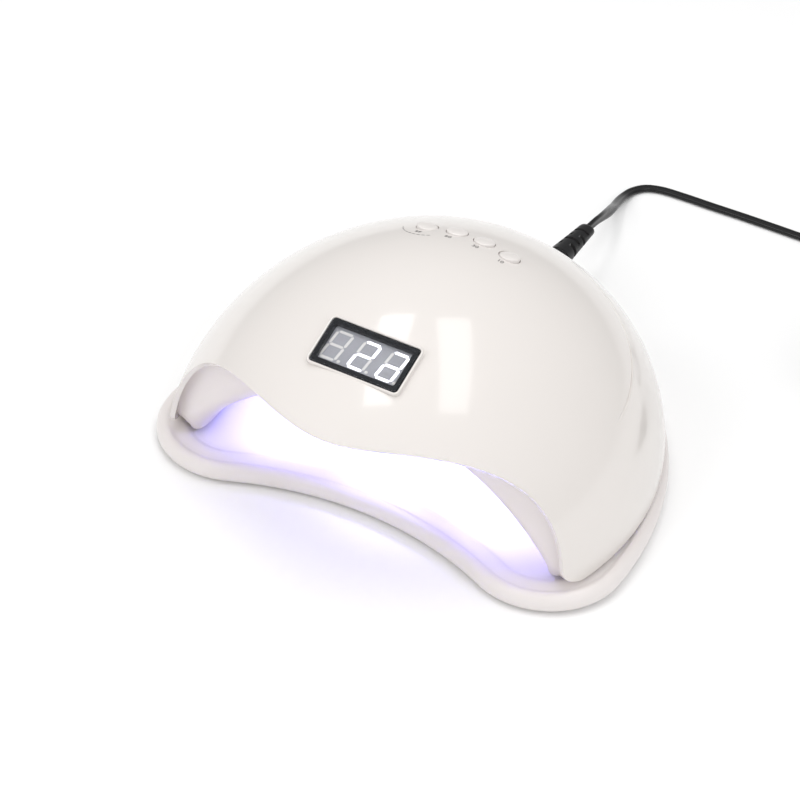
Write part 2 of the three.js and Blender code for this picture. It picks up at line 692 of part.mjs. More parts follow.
function makeLedBoards() {
  const board = solidOf(plateBelow(LED_BOARD_SIZE, LED_BOARD_OFFSET + LED_BOARD_SIZE[2]));
  const leds = ledOffsets().map(([x, y]) => {
    const led = upright(LED_RADIUS, -LED_DROP, LED_BOARD_OFFSET + LED_BOARD_SIZE[2] / 2, 12);
    return solidOf(led.translate(x, y, 0));
  });
  const geometry = geometryOf(leds.reduce((solid, led) => solid.add(led), board));
  for (const [name, place] of Object.entries(ledBoardPlaces())) {
    addPiece(standingOn(place, head), `led_board_${name}`, geometry, BOARD_WHITE);
  }
}

function makeHandSensor() {
  for (const [name, x] of [['sensor_emitter', -SENSOR_X], ['sensor_receiver', SENSOR_X]]) {
    const bottom = archHeight(SENSOR_X) - 1;
    const body = upright(SENSOR_RADIUS, bottom, bottom + SENSOR_HEIGHT, 12);
    const sensor = addPiece(head, name, body, BLACK_PLASTIC);
    sensor.position.set(x, SENSOR_Y, 0);
  }
}

// ---------------------------------------------------------------- power inlet and cord

/** A cylinder or cone along Y from y0 to y1. */
function alongY(startRadius, endRadius, y0, y1, segments = 20) {
  const geometry = new THREE.CylinderGeometry(endRadius, startRadius, y1 - y0, segments);
  return geometry.translate(0, (y0 + y1) / 2, 0);
}

function makeInlet() {
  const rearWall = DOME_CENTRE_Y + DOME_HALF_DEPTH;
  const [width, depth, height] = JACK_SIZE;
  const middle = rearWall - JACK_RECESS - depth / 2;
  const body = new THREE.BoxGeometry(width, depth, height).translate(0, middle, INLET_Z);
  const socketEnd = rearWall - JACK_RECESS - SOCKET_DEPTH;
  const socket = alongY(SOCKET_RADIUS, SOCKET_RADIUS, socketEnd, rearWall).translate(0, 0, INLET_Z);
  addPiece(head, 'dc_jack', geometryOf(solidOf(body).subtract(solidOf(socket))), BLACK_PLASTIC);
}

function makePlug() {
  const grip = solidOf(alongY(PLUG_RADIUS, PLUG_RADIUS, PLUG_START_Y, PLUG_END_Y));
  const tip = PLUG_START_Y - BARREL_LENGTH;
  const barrel = solidOf(alongY(BARREL_RADIUS, BARREL_RADIUS, tip, PLUG_START_Y + 1));
  const plug = addPiece(head, 'dc_plug', geometryOf(grip.add(barrel)), BLACK_PLASTIC);
  plug.position.z = INLET_Z;
}

/** A tapering flat sleeve from the plug to where the cord leaves it. */
function makeStrainRelief() {
  const start = PLUG_END_Y + GAP;
  const relief = alongY(PLUG_RADIUS, RELIEF_TIP_RADIUS, start, RELIEF_END_Y, 16);
  const position = relief.attributes.position;
  for (let i = 0; i < position.count; i += 1) {
    const part = (position.getY(i) - start) / (RELIEF_END_Y - start);
    const middle = INLET_Z + (RELIEF_END_Z - INLET_Z) * part;
    position.setZ(i, middle + position.getZ(i) * (1 - RELIEF_FLATTENING * part));
  }
  addPiece(head, 'strain_relief', relief, BLACK_RUBBER);
}

/** The cord's flat eight sided section, its width across the path. */
function cordSection() {
  const halfWidth = CORD_WIDTH / 2;
  const halfHeight = CORD_THICKNESS / 2;
  const corner = halfHeight * 0.6;
  const quarter = [[halfWidth, halfHeight - corner], [halfWidth - corner, halfHeight]];
  const points = [
    ...quarter,
    ...quarter.map(([x, y]) => [-x, y]).reverse(),
    ...quarter.map(([x, y]) => [-x, -y]),
    ...quarter.map(([x, y]) => [x, -y]).reverse(),
  ];
  return new THREE.Shape(points.map(([x, y]) => new THREE.Vector2(x, y)));
}

function tubeAlong(points, steps) {
  const places = points.map((point) => new THREE.Vector3(...point));
  const curve = new THREE.CatmullRomCurve3(places, false, 'centripetal');
  const options = { steps, bevelEnabled: false, extrudePath: curve };
  return new THREE.ExtrudeGeometry(cordSection(), options);
}

function makeCord() {
  addPiece(mains, 'cord_run', tubeAlong(CORD_ROUTE, 26), BLACK_RUBBER);
  addPiece(mains, 'cord_tail', tubeAlong(TAIL_ROUTE, 10), BLACK_RUBBER);
}

function makeCoil() {
  const inner = COIL_RADIUS - COIL_WIDTH / 2;
  const outer = COIL_RADIUS + COIL_WIDTH / 2;
  const top = COIL_BASE_Z + COIL_DEPTH;
  const ring = new THREE.LatheGeometry([
    new THREE.Vector2(inner, COIL_BASE_Z),
    new THREE.Vector2(outer, COIL_BASE_Z),
    new THREE.Vector2(outer, top),
    new THREE.Vector2(inner, top),
    new THREE.Vector2(inner, COIL_BASE_Z),
  ], 32);
  const coil = addPiece(mains, 'cord_coil', geometryOf(solidOf(ring.rotateX(Math.PI / 2))), BLACK_RUBBER);
  coil.position.set(...COIL_CENTRE, 0);
}

/** A strap closed round the coil's turns. */
function makeCoilTie() {
  const halfWidth = COIL_WIDTH / 2 + 2 * GAP;
  const bottom = TIE_BASE_Z + TIE_THICKNESS;
  const top = COIL_BASE_Z + COIL_DEPTH + GAP;
  const low = [-halfWidth - TIE_THICKNESS, -TIE_WIDTH / 2, TIE_BASE_Z];
  const high = [halfWidth + TIE_THICKNESS, TIE_WIDTH / 2, top + TIE_THICKNESS];
  const strap = solidOf(boxBetween(low, high));
  const inside = solidOf(boxBetween([-halfWidth, -TIE_WIDTH, bottom], [halfWidth, TIE_WIDTH, top]));
  const tie = addPiece(mains, 'coil_tie', geometryOf(strap.subtract(inside)), BLACK_PLASTIC);
  tie.position.set(COIL_CENTRE[0] + COIL_RADIUS, COIL_CENTRE[1], 0);
}

/** The wall adapter lies on its side, with its blades away from the cord. */
function makeAdapter() {
  const [width, length, height] = ADAPTER_SIZE;
  const outline = new THREE.Shape();
  const side = width / 2 - ADAPTER_CORNER;
  const end = length / 2 - ADAPTER_CORNER;
  outline.absarc(side, end, ADAPTER_CORNER, 0, Math.PI / 2, false);
  outline.absarc(-side, end, ADAPTER_CORNER, Math.PI / 2, Math.PI, false);
  outline.absarc(-side, -end, ADAPTER_CORNER, Math.PI, 1.5 * Math.PI, false);
  outline.absarc(side, -end, ADAPTER_CORNER, 1.5 * Math.PI, 2 * Math.PI, false);
  const adapter = new THREE.Group();
  adapter.position.set(...ADAPTER_CENTRE, 0);
  mains.add(adapter);
  const top = ADAPTER_BASE_Z + height;
  const body = geometryOf(solidOf(extrudeUp(outline, ADAPTER_BASE_Z, top, ADAPTER_EDGE, 3)));
  addPiece(adapter, 'adapter_body', body, BLACK_PLASTIC);
  const [reliefRoot, reliefTip] = ADAPTER_RELIEF_RADII;
  const relief = alongY(reliefRoot, reliefTip, length / 2 + GAP, length / 2 + ADAPTER_RELIEF, 16);
  addPiece(adapter, 'adapter_relief', relief.translate(0, 0, ADAPTER_CORD_Z), BLACK_RUBBER);
  const [bladeThickness, bladeLength, bladeWidth] = BLADE_SIZE;
  for (const [side, x] of [['left', -BLADE_SPACING / 2], ['right', BLADE_SPACING / 2]]) {
    const blade = new THREE.BoxGeometry(bladeThickness, bladeLength, bladeWidth);
    blade.translate(x, -length / 2 - GAP - bladeLength / 2, height / 2);
    addPiece(adapter, `adapter_blade_${side}`, blade, NICKEL);
  }
}

makeTray();
makeFeet();
makeKeeperPlates();
makeOuterShell();
makeInnerReflector();
makeScrews();
makeMagnets();
makeDisplay();
makeButtonBoard();
makeButtons();
makeLedBoards();
makeHandSensor();
makeInlet();
makePlug();
makeStrainRelief();
makeCord();
makeCoil();
makeCoilTie();
makeAdapter();

export default lamp;
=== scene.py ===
"""A UV LED nail lamp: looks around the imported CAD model, in millimetres until a mesh is made."""
import math

import bmesh
import bpy
import numpy as np
from mathutils import Matrix, Vector


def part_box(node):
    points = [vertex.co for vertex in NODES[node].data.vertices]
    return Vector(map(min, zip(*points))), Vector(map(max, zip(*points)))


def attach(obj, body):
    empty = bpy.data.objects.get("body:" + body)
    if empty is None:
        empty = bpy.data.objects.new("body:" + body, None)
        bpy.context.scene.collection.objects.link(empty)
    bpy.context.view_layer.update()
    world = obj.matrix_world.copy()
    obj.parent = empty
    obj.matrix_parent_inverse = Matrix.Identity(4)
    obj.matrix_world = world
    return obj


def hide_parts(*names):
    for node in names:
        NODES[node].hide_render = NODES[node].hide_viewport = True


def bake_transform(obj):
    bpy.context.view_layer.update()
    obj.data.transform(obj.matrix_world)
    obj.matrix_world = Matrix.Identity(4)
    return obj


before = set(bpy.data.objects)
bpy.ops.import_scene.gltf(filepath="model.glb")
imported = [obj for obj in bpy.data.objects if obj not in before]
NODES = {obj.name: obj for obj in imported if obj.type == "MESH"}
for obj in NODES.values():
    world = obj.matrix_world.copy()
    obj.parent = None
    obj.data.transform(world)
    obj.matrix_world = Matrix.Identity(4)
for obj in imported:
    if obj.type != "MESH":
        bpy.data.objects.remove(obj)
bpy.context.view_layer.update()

MM = 0.001

# --- driving dimensions, as in the CAD model
DOME_CENTRE_Y = -19.0
DOME_BASE_Z = 9.8
DOME_POWER = 1.91
OUTER = (103.0, 116.6, 92.2, DOME_POWER)
SHELL_WALL = 2.2
ARCH_HALF_WIDTH = 94.2
ARCH_HEIGHT = 65.0
ARCH_SIDE_POWER = 3.2
ARCH_DIP = 2.0
ARCH_DIP_WIDTH = 30.0
TOE_FLARE = 3.5
TOE_HEIGHT = 9.0
LINER = (84.0, 98.0, 57.0, 1.38)
LINER_WALL = 1.6
FRONT_WALL_Y = -61.0
DISPLAY_Y = -67.5
WINDOW_DROP = 0.2
FACE_DROP = 2.5
BUTTON_POINTS = {"99s": (-19.4, 17.8), "60s": (-6.4, 19.9), "30s": (6.4, 19.9), "10s": (19.4, 17.8)}
BUTTON_RADIUS = 4.5
TRAY_HALF_WIDTH = 109.5
TRAY_CENTRE_Y = -36.1
TRAY_REAR_Y = 101.6
LOBE_RADIUS = 34.7
LOBE_START = math.radians(5)
NOTCH_Y = -60.9
INLET_Z = 29.0
PLUG_RADIUS = 5.5
LED_BOARDS = {
    "ceiling_left": (180, 58, 14),
    "ceiling_right": (0, 58, 14),
    "ceiling_rear": (90, 66, 0),
    "side_left": (180, 23, 12),
    "side_right": (0, 23, 12),
    "rear": (90, 34, 0),
}
LED_SPACING = 18.0
CORD_WIDTH = 4.6
CORD_THICKNESS = 2.3
CORD_ROUTE = [
    (0, 140.9, 26.8), (0, 148, 26), (-0.5, 156, 23.6), (-2, 166, 19.5), (-4.5, 177, 14.4),
    (-7.5, 188, 9), (-9.8, 198, 4.9), (-10.6, 206, 2.4), (-9.6, 212.5, 1.45), (-5.5, 218, 1.4),
    (1.5, 220.8, 1.4), (12, 221.6, 1.4), (28, 221.8, 1.4), (46, 222.2, 1.4), (64, 222.2, 1.4),
    (82, 222.1, 1.4), (95, 222, 1.5), (107.5, 222.1, 1.9),
]
TAIL_ROUTE = [
    (141.5, 223.4, 7.8), (148.5, 221.8, 7), (154.6, 217.6, 6.3), (158.8, 211, 5.9), (160.7, 203.6, 5.8),
    (161, 196.6, 5.8), (161, 184, 5.8), (161, 169, 5.8),
]
COIL_CENTRE = (124.0, 252.0)
COIL_OUTER_TURN = 29.9
COIL_INNER_TURN = 22.1
COIL_TURN_PITCH = 2.6
COIL_LAYERS_Z = (3.75, 8.65)

# --- camera
CAMERA_PLACE = (420.3, -831.1, 783.2)
CAMERA_AZIMUTH = 27.85
CAMERA_ELEVATION = 39.3
CAMERA_ROLL = 2.91
CAMERA_LENS = 126.9


def make_camera():
    """A camera that looks down on the lamp from the front right, with a slight roll."""
    azimuth, elevation, roll = (math.radians(v) for v in (CAMERA_AZIMUTH, CAMERA_ELEVATION, CAMERA_ROLL))
    back = Vector((
        math.sin(azimuth) * math.cos(elevation),
        -math.cos(azimuth) * math.cos(elevation),
        math.sin(elevation),
    ))
    right = Vector((math.cos(azimuth), math.sin(azimuth), 0))
    up = back.cross(right)
    across = right * math.cos(roll) + up * math.sin(roll)
    upward = up * math.cos(roll) - right * math.sin(roll)
    data = bpy.data.cameras.new("camera")
    data.lens = CAMERA_LENS
    data.sensor_width = 36
    data.clip_start = 0.05
    data.clip_end = 20
    camera = bpy.data.objects.new("camera", data)
    bpy.context.collection.objects.link(camera)
    turn = Matrix((across, upward, back)).transposed().to_4x4()
    camera.matrix_world = Matrix.Translation(Vector(CAMERA_PLACE) * MM) @ turn
    bpy.context.scene.camera = camera


# --- materials
def new_material(name, color, roughness, **sockets):
    """A Principled material. Returns it."""
    material = bpy.data.materials.new(name)
    material.use_nodes = True
    shader = material.node_tree.nodes["Principled BSDF"]
    shader.inputs["Base Color"].default_value = (*color, 1)
    shader.inputs["Roughness"].default_value = roughness
    for socket, value in sockets.items():
        shader.inputs[socket.replace("_", " ")].default_value = value
    return material


def add_noise(material, scale, detail=2.0, stretch=(1, 1, 1)):
    """A noise texture in object space, in cycles per metre."""
    tree = material.node_tree
    place = tree.nodes.new("ShaderNodeTexCoord")
    mapping = tree.nodes.new("ShaderNodeMapping")
    mapping.inputs["Scale"].default_value = stretch
    noise = tree.nodes.new("ShaderNodeTexNoise")
    noise.inputs["Scale"].default_value = scale
    noise.inputs["Detail"].default_value = detail
    tree.links.new(place.outputs["Object"], mapping.inputs["Vector"])
    tree.links.new(mapping.outputs["Vector"], noise.inputs["Vector"])
    return noise.outputs["Fac"]


def spread(material, factor, low, high):
    """A number that follows a factor between low and high."""
    node = material.node_tree.nodes.new("ShaderNodeMapRange")
    node.inputs["From Min"].default_value = 0.3
    node.inputs["From Max"].default_value = 0.7
    node.inputs["To Min"].default_value = low
    node.inputs["To Max"].default_value = high
    material.node_tree.links.new(factor, node.inputs["Value"])
    return node.outputs["Result"]


def tint(material, factor, low, high):
    """A colour that follows a factor between two colours, into the base colour."""
    node = material.node_tree.nodes.new("ShaderNodeMix")
    node.data_type = "RGBA"
    node.inputs["A"].default_value = (*low, 1)
    node.inputs["B"].default_value = (*high, 1)
    material.node_tree.links.new(spread(material, factor, 0, 1), node.inputs["Factor"])
    shader = material.node_tree.nodes["Principled BSDF"]
    material.node_tree.links.new(node.outputs["Result"], shader.inputs["Base Color"])


def roughen(material, factor, low, high):
    shader = material.node_tree.nodes["Principled BSDF"]
    material.node_tree.links.new(spread(material, factor, low, high), shader.inputs["Roughness"])


def add_bump(material, factor, strength, distance):
    """A bump of the given height, in metres."""
    tree = material.node_tree
    bump = tree.nodes.new("ShaderNodeBump")
    bump.inputs["Strength"].default_value = strength
    bump.inputs["Distance"].default_value = distance
    tree.links.new(factor, bump.inputs["Height"])
    tree.links.new(bump.outputs["Normal"], tree.nodes["Principled BSDF"].inputs["Normal"])


def moulded_plastic(name, color, roughness, shade, grain, grain_scale, wear, **sockets):
    """Injection moulded plastic: faint flow marks in colour and gloss, and a fine skin texture."""
    material = new_material(name, color, roughness, **sockets)
    flow = add_noise(material, 18, 3)
    darker = tuple(c * (1 - shade) for c in color)
    tint(material, flow, darker, color)
    patches = add_noise(material, 90, 4)
    roughen(material, patches, roughness * (1 - wear), roughness * (1 + wear))
    add_bump(material, add_noise(material, grain_scale, 2), 0.25, grain * 1e-6)
    return material


WEAR = 0.15
FINE_WEAR = 0.06
DULL = {"Specular_IOR_Level": 0.3}
DEEP = {"Specular_IOR_Level": 0.35}
GLOSS = {"IOR": 1.5, "Coat_Weight": 0.35, "Coat_Roughness": 0.04}
# key: name, colour, roughness, shade, grain in micrometres, grain scale, wear, further sockets
MOULDED = {
    "shell": ("shell_white", (0.79, 0.75, 0.72), 0.13, 0.005, 6, 700, FINE_WEAR, GLOSS),
    "tray": ("tray_white", (0.81, 0.765, 0.75), 0.3, 0.005, 8, 1800, FINE_WEAR, {}),
    "liner": ("liner_white", (0.83, 0.775, 0.77), 0.32, 0.005, 8, 1800, FINE_WEAR, {}),
    "button": ("button_white", (0.79, 0.75, 0.725), 0.24, 0.005, 8, 1500, FINE_WEAR, {}),
    "black": ("black_plastic", (0.012, 0.012, 0.013), 0.38, 0.25, 20, 3000, WEAR, DULL),
    "adapter": ("adapter_black", (0.014, 0.014, 0.015), 0.42, 0.2, 60, 5200, WEAR, DEEP),
    "cord": ("cord_black", (0.010, 0.010, 0.011), 0.3, 0.25, 30, 1600, WEAR, DEEP),
    "relief": ("relief_black", (0.013, 0.013, 0.014), 0.42, 0.25, 40, 2600, WEAR, DULL),
    "rubber": ("foot_rubber", (0.05, 0.05, 0.053), 0.75, 0.2, 60, 2400, WEAR, {}),
    "board": ("board_green", (0.015, 0.11, 0.045), 0.35, 0.25, 40, 900, WEAR, {}),
    "led_board": ("board_white", (0.80, 0.81, 0.82), 0.4, 0.03, 30, 900, WEAR, {}),
    "border": ("window_border", (0.006, 0.007, 0.009), 0.07, 0.2, 2, 400, WEAR, DULL),
    "face": ("digit_face", (0.30, 0.30, 0.32), 0.45, 0.1, 40, 5000, WEAR, {}),
    "segment": ("segment_off", (0.62, 0.60, 0.58), 0.4, 0.05, 20, 4000, WEAR, {}),
    "print": ("print_grey", (0.10, 0.09, 0.09), 0.5, 0.1, 10, 2000, WEAR, {}),
}


def make_materials():
    m = {}
    for key, (*values, sockets) in MOULDED.items():
        m[key] = moulded_plastic(*values, **sockets)
    m["steel"] = new_material("steel_plate", (0.56, 0.57, 0.59), 0.32, Metallic=1.0)
    streaks = add_noise(m["steel"], 1200, 3, (1, 0.08, 1))
    roughen(m["steel"], streaks, 0.22, 0.45)
    add_bump(m["steel"], streaks, 0.3, 0.00002)
    m["nickel"] = new_material("nickel_plate", (0.74, 0.73, 0.71), 0.16, Metallic=1.0)
    roughen(m["nickel"], add_noise(m["nickel"], 600, 3), 0.1, 0.26)
    emission = {"Emission_Strength": 1.5, "Emission_Color": (0.93, 0.92, 1, 1)}
    m["lit"] = new_material("segment_lit", (1, 1, 1), 0.4, **emission)
    roughen(m["lit"], add_noise(m["lit"], 900, 2), 0.35, 0.5)
    emission = {"Emission_Strength": 5, "Emission_Color": (0.42, 0.42, 1, 1)}
    m["led"] = new_material("led_lens", (0.75, 0.68, 1.0), 0.12, **emission)
    roughen(m["led"], add_noise(m["led"], 700, 2), 0.08, 0.2)
    m["pane"] = new_material("window_pane", (0.90, 0.91, 0.93), 0.02, Transmission_Weight=1.0, IOR=1.38)
    roughen(m["pane"], add_noise(m["pane"], 60, 3), 0.012, 0.03)
    return m


# --- mesh tools
def add_object(name, vertices, faces, material, body, smooth=True, scale=MM):
    """A mesh object from vertices in millimetres, riding on a CAD body."""
    mesh = bpy.data.meshes.new(name)
    mesh.from_pydata([tuple(scale * c for c in v) for v in vertices], [], faces)
    mesh.validate()
    for polygon in mesh.polygons:
        polygon.use_smooth = smooth
    mesh.materials.append(material)
    piece = bpy.data.objects.new(name, mesh)
    bpy.context.collection.objects.link(piece)
    if body:
        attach(piece, body)
    return piece


def finish_piece(piece, node=None, edge=None):
    """Hides the CAD node a piece replaces, and marks its sharp edges."""
    if edge:
        sharpen(piece, edge)
    if node:
        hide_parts(node)
    return piece


def stacked_faces(rows, columns, flip=False):
    """Faces of a closed solid made of rings of vertices, with a cap at each end."""
    ends = [tuple(range(columns)), tuple(range((rows - 1) * columns, rows * columns))]
    bottom, top = (ends[0], ends[1][::-1]) if flip else (ends[0][::-1], ends[1])
    return grid_faces(rows, columns, closed=True, flip=flip) + [bottom, top]


def evaluated_mesh(piece):
    bpy.context.view_layer.update()
    graph = bpy.context.evaluated_depsgraph_get()
    return bpy.data.meshes.new_from_object(piece.evaluated_get(graph), depsgraph=graph)


def apply_modifiers(piece):
    """Bakes a piece's modifiers into its mesh."""
    mesh = evaluated_mesh(piece)
    piece.modifiers.clear()
    piece.data = mesh
    return piece


def thicken(piece, wall, even=False):
    """Gives a skin a wall on its inner side."""
    solid = piece.modifiers.new("wall", "SOLIDIFY")
    solid.thickness = wall * MM
    solid.offset = -1
    solid.use_even_offset = even
    return apply_modifiers(piece)


def bevel(piece, width, segments=3, angle=35):
    """Rounds a piece's sharp edges, and keeps its flat faces flat."""
    modifier = piece.modifiers.new("bevel", "BEVEL")
    modifier.width = width * MM
    modifier.segments = segments
    modifier.limit_method = "ANGLE"
    modifier.angle_limit = math.radians(angle)
    modifier.harden_normals = True
    return apply_modifiers(piece)


def boolean(piece, cutter, operation="DIFFERENCE"):
    modifier = piece.modifiers.new("boolean", "BOOLEAN")
    modifier.operation = operation
    modifier.object = cutter
    modifier.solver = "EXACT"
    apply_modifiers(piece)
    bpy.data.objects.remove(cutter)
    return piece


def grid_faces(rows, columns, closed=False, flip=False):
    """Quads between rows of vertices. A closed grid joins its last column to its first."""
    faces = []
    for r in range(rows - 1):
        for c in range(columns if closed else columns - 1):
            d = (c + 1) % columns
            face = (r * columns + c, r * columns + d, (r + 1) * columns + d, (r + 1) * columns + c)
            faces.append(face[::-1] if flip else face)
    return faces


def lathe(profile, around=48):
    """A closed turned solid about Z. The profile runs from the axis at the bottom to the axis at the top."""
    inner = [p for p in profile if p[0] > 1e-9]
    vertices = [(r * math.cos(a), r * math.sin(a), z) for r, z in inner
                for a in (2 * math.pi * i / around for i in range(around))]
    return vertices, stacked_faces(len(inner), around)


def turned(vertices, place, normal):
    """Vertices stood up along a normal at a place."""
    turn = Vector((0, 0, 1)).rotation_difference(Vector(normal)).to_matrix()
    return [tuple(turn @ Vector(v) + Vector(place)) for v in vertices]


def drill(piece, radius, low, high, place, normal, material, offset=(0, 0), around=48):
    """Cuts a round hole through a piece, along a normal at a place."""
    vertices, faces = lathe([(0, low), (radius, low), (radius, high), (0, high)], around)
    vertices = [(x + offset[0], y + offset[1], z) for x, y, z in vertices]
    boolean(piece, add_object("cut", turned(vertices, place, normal), faces, material, None))


def cad_box(name):
    """The centre, size and far corner of a CAD node's box, in millimetres."""
    low, high = (np.array(v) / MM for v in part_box(name))
    return (low + high) / 2, high - low, high


def pointed_back(vertices, x0, y0, z0):
    """Vertices of a solid about Z laid along Y at a place."""
    return [(x0 + x, y0 + z, z0 - y) for x, y, z in vertices]


def smoothstep(value, low, high):
    t = min(max((value - low) / (high - low), 0), 1)
    return t * t * (3 - 2 * t)


# --- the dome
def dome_above(x, y, dome=OUTER):
    """The point of the dome above a plan position, and its outward normal."""
    width, depth, height, power = dome
    plan = (x / width) ** 2 + ((y - DOME_CENTRE_Y) / depth) ** 2
    rise = max(1 - plan ** (power / 2), 0) ** (1 / power)
    z = DOME_BASE_Z + rise * height
    return Vector((x, y, z)), dome_normal(x, y, z, dome)


def dome_normal(x, y, z, dome=OUTER):
    """The outward normal of the dome at a point on it."""
    width, depth, height, power = dome
    dy = y - DOME_CENTRE_Y
    slope = max((x / width) ** 2 + (dy / depth) ** 2, 1e-12) ** (power / 2 - 1)
    rise = max((z - DOME_BASE_Z) / height, 0)
    return Vector((slope * x / width ** 2, slope * dy / depth ** 2, rise ** (power - 1) / height)).normalized()


def dome_toward(azimuth, elevation, dome):
    """The point of a dome in a direction from its centre, in degrees, and its outward normal."""
    a, e = math.radians(azimuth), math.radians(elevation)
    width, depth, height, power = dome
    direction = Vector((math.cos(a) * math.cos(e), math.sin(a) * math.cos(e), math.sin(e)))
    plan = (direction.x / width) ** 2 + (direction.y / depth) ** 2
    rise = abs(direction.z / height) ** power
    point = direction * (plan ** (power / 2) + rise) ** (-1 / power)
    point += Vector((0, DOME_CENTRE_Y, DOME_BASE_Z))
    return point, dome_normal(*point, dome)


def meridian(dome, turn, climb):
    """A point of the dome from its plan angle and its climb, both in radians."""
    reach = max(math.cos(climb), 0) ** (2 / dome[3])
    rise = math.sin(climb) ** (2 / dome[3])
    return (
        dome[0] * reach * math.cos(turn),
        DOME_CENTRE_Y + dome[1] * reach * math.sin(turn),
        DOME_BASE_Z + dome[2] * rise,
    )


def arch_height(x):
    """Height of the hand opening at a distance from the middle."""
    side = max(1 - abs(x / ARCH_HALF_WIDTH) ** ARCH_SIDE_POWER, 0)
    dip = ARCH_DIP * math.exp(-((x / ARCH_DIP_WIDTH) ** 2))
    return DOME_BASE_Z + ARCH_HEIGHT * math.sqrt(side) - dip


def toe_flare(z):
    return TOE_FLARE * max(0, 1 - (z - DOME_BASE_Z) / TOE_HEIGHT) ** 2


def under_arch(x, z):
    side = abs(x) - toe_flare(z)
    return side < ARCH_HALF_WIDTH and z < arch_height(max(side, 0))


def in_opening(x, y, z):
    return y < DOME_CENTRE_Y and under_arch(x, z)


def narrow(low, high, rounds, holds):
    """Halves a span whose low end meets a condition and whose high end does not."""
    for _ in range(rounds):
        middle = (low + high) / 2
        if holds(middle):
            low = middle
        else:
            high = middle
    return low, high


def edge_climb(turn):
    """The climb at which a meridian of the outer dome meets the opening or the base."""
    steps, top = 160, math.pi / 2
    for i in range(steps + 1):
        climb = top * (1 - i / steps)
        if in_opening(*meridian(OUTER, turn, max(climb, 1e-6))):
            return narrow(climb, climb + top / steps, 20, lambda c: in_opening(*meridian(OUTER, turn, c)))[1]
    return 0.0


def edge_turns(count):
    """Plan angles whose meridians reach the shell's edge at even steps along it, from front to rear."""
    fine = 1500
    turns = [-math.pi / 2 + math.pi * i / fine for i in range(fine + 1)]
    points = [Vector(meridian(OUTER, turn, edge_climb(turn))) for turn in turns]
    along = [0.0]
    for a, b in zip(points, points[1:]):
        along.append(along[-1] + (b - a).length)
    wanted = [along[-1] * i / count for i in range(count + 1)]
    return list(np.interp(wanted, along, turns))


WINDOW_CUT = (40.8, 22.4, 1.8)
BUTTON_HOLE_GAP = 0.35
INLET_GAP = 0.5
RIM_ROUND = 1.0
CREASE_APEX_Z = 78.0
CREASE_SLOPE = 0.29
CREASE_ROUND = 15.0
CREASE_DEPTH = 0.15
CREASE_WIDTH = 0.7
GROOVE_DEPTH = 1.0
GROOVE_DROP = 0.45
GROOVE_HALF_WIDTH = 0.42


def crease_height(x):
    """Height of the step line across the rear of the shell."""
    return CREASE_APEX_Z + CREASE_SLOPE * (CREASE_ROUND - math.hypot(x, CREASE_ROUND))


def recess(x, y, z):
    """How far the rear of the shell lies below the plain dome."""
    if y <= DOME_CENTRE_Y:
        return 0.0
    drop = crease_height(x) - z
    below = smoothstep(drop, 0, CREASE_WIDTH)
    groove = 1 - smoothstep(abs(drop - GROOVE_DROP), GROOVE_HALF_WIDTH / 3, GROOVE_HALF_WIDTH)
    reach = smoothstep(y, DOME_CENTRE_Y, DOME_CENTRE_Y + 25)
    fade = (1 - smoothstep(abs(x), 58, 96)) * reach
    line = (1 - smoothstep(abs(x), 72, 97)) * reach
    foot = smoothstep(z, DOME_BASE_Z, DOME_BASE_Z + 14)
    return CREASE_DEPTH * below * fade * foot + GROOVE_DEPTH * groove * line


def crease_share(turn, edge):
    """Where a meridian crosses the step line, as a share of its way from the apex to the edge."""
    def under(climb):
        x, _, z = meridian(OUTER, turn, climb)
        return z < crease_height(x)

    return (math.pi / 2 - narrow(edge, math.pi / 2, 30, under)[1]) / (math.pi / 2 - edge)


SHELL_COLUMNS = 190
SHELL_ROWS_ABOVE = 50
SHELL_ROWS_STEP = 16
SHELL_ROWS_BELOW = 60
STEP_LEAD = 0.003
STEP_SHARE = 0.012


def shell_surface():
    """Vertices and faces of the shell's outer face, row by row from the apex to the edge."""
    half = edge_turns(SHELL_COLUMNS)
    turns = half + [math.pi - turn for turn in half[-2:0:-1]]
    columns = len(turns)
    profiles = []
    for turn in turns:
        edge = max(edge_climb(turn if turn <= math.pi / 2 else math.pi - turn), 1e-4)
        rear = smoothstep(math.sin(turn), -0.2, 0.04)
        share = 0.55 + rear * (min(crease_share(turn, edge), 0.9) - 0.55)
        share -= STEP_LEAD
        shares = [share * (i / SHELL_ROWS_ABOVE) for i in range(1, SHELL_ROWS_ABOVE)]
        shares += [share + STEP_SHARE * i / SHELL_ROWS_STEP for i in range(SHELL_ROWS_STEP)]
        start = share + STEP_SHARE
        shares += [start + (1 - start) * i / SHELL_ROWS_BELOW for i in range(SHELL_ROWS_BELOW + 1)]
        profiles.append([math.pi / 2 - s * (math.pi / 2 - edge) for s in shares])
    rows = len(profiles[0])
    vertices = [meridian(OUTER, 0, math.pi / 2)]
    for r in range(rows):
        for c in range(columns):
            x, y, z = meridian(OUTER, turns[c], profiles[c][r])
            inward = dome_normal(x, y, z) * recess(x, y, z)
            vertices.append((x - inward.x, y - inward.y, z - inward.z))
    faces = [(0, 1 + (c + 1) % columns, 1 + c)[::-1] for c in range(columns)]
    faces += [tuple(i + 1 for i in face) for face in grid_faces(rows, columns, closed=True, flip=True)]
    return vertices, faces


WINDOW_POINT, WINDOW_NORMAL = dome_above(0, DISPLAY_Y)
BUTTON_NORMAL = dome_above(0, BUTTON_POINTS["60s"][1])[1]


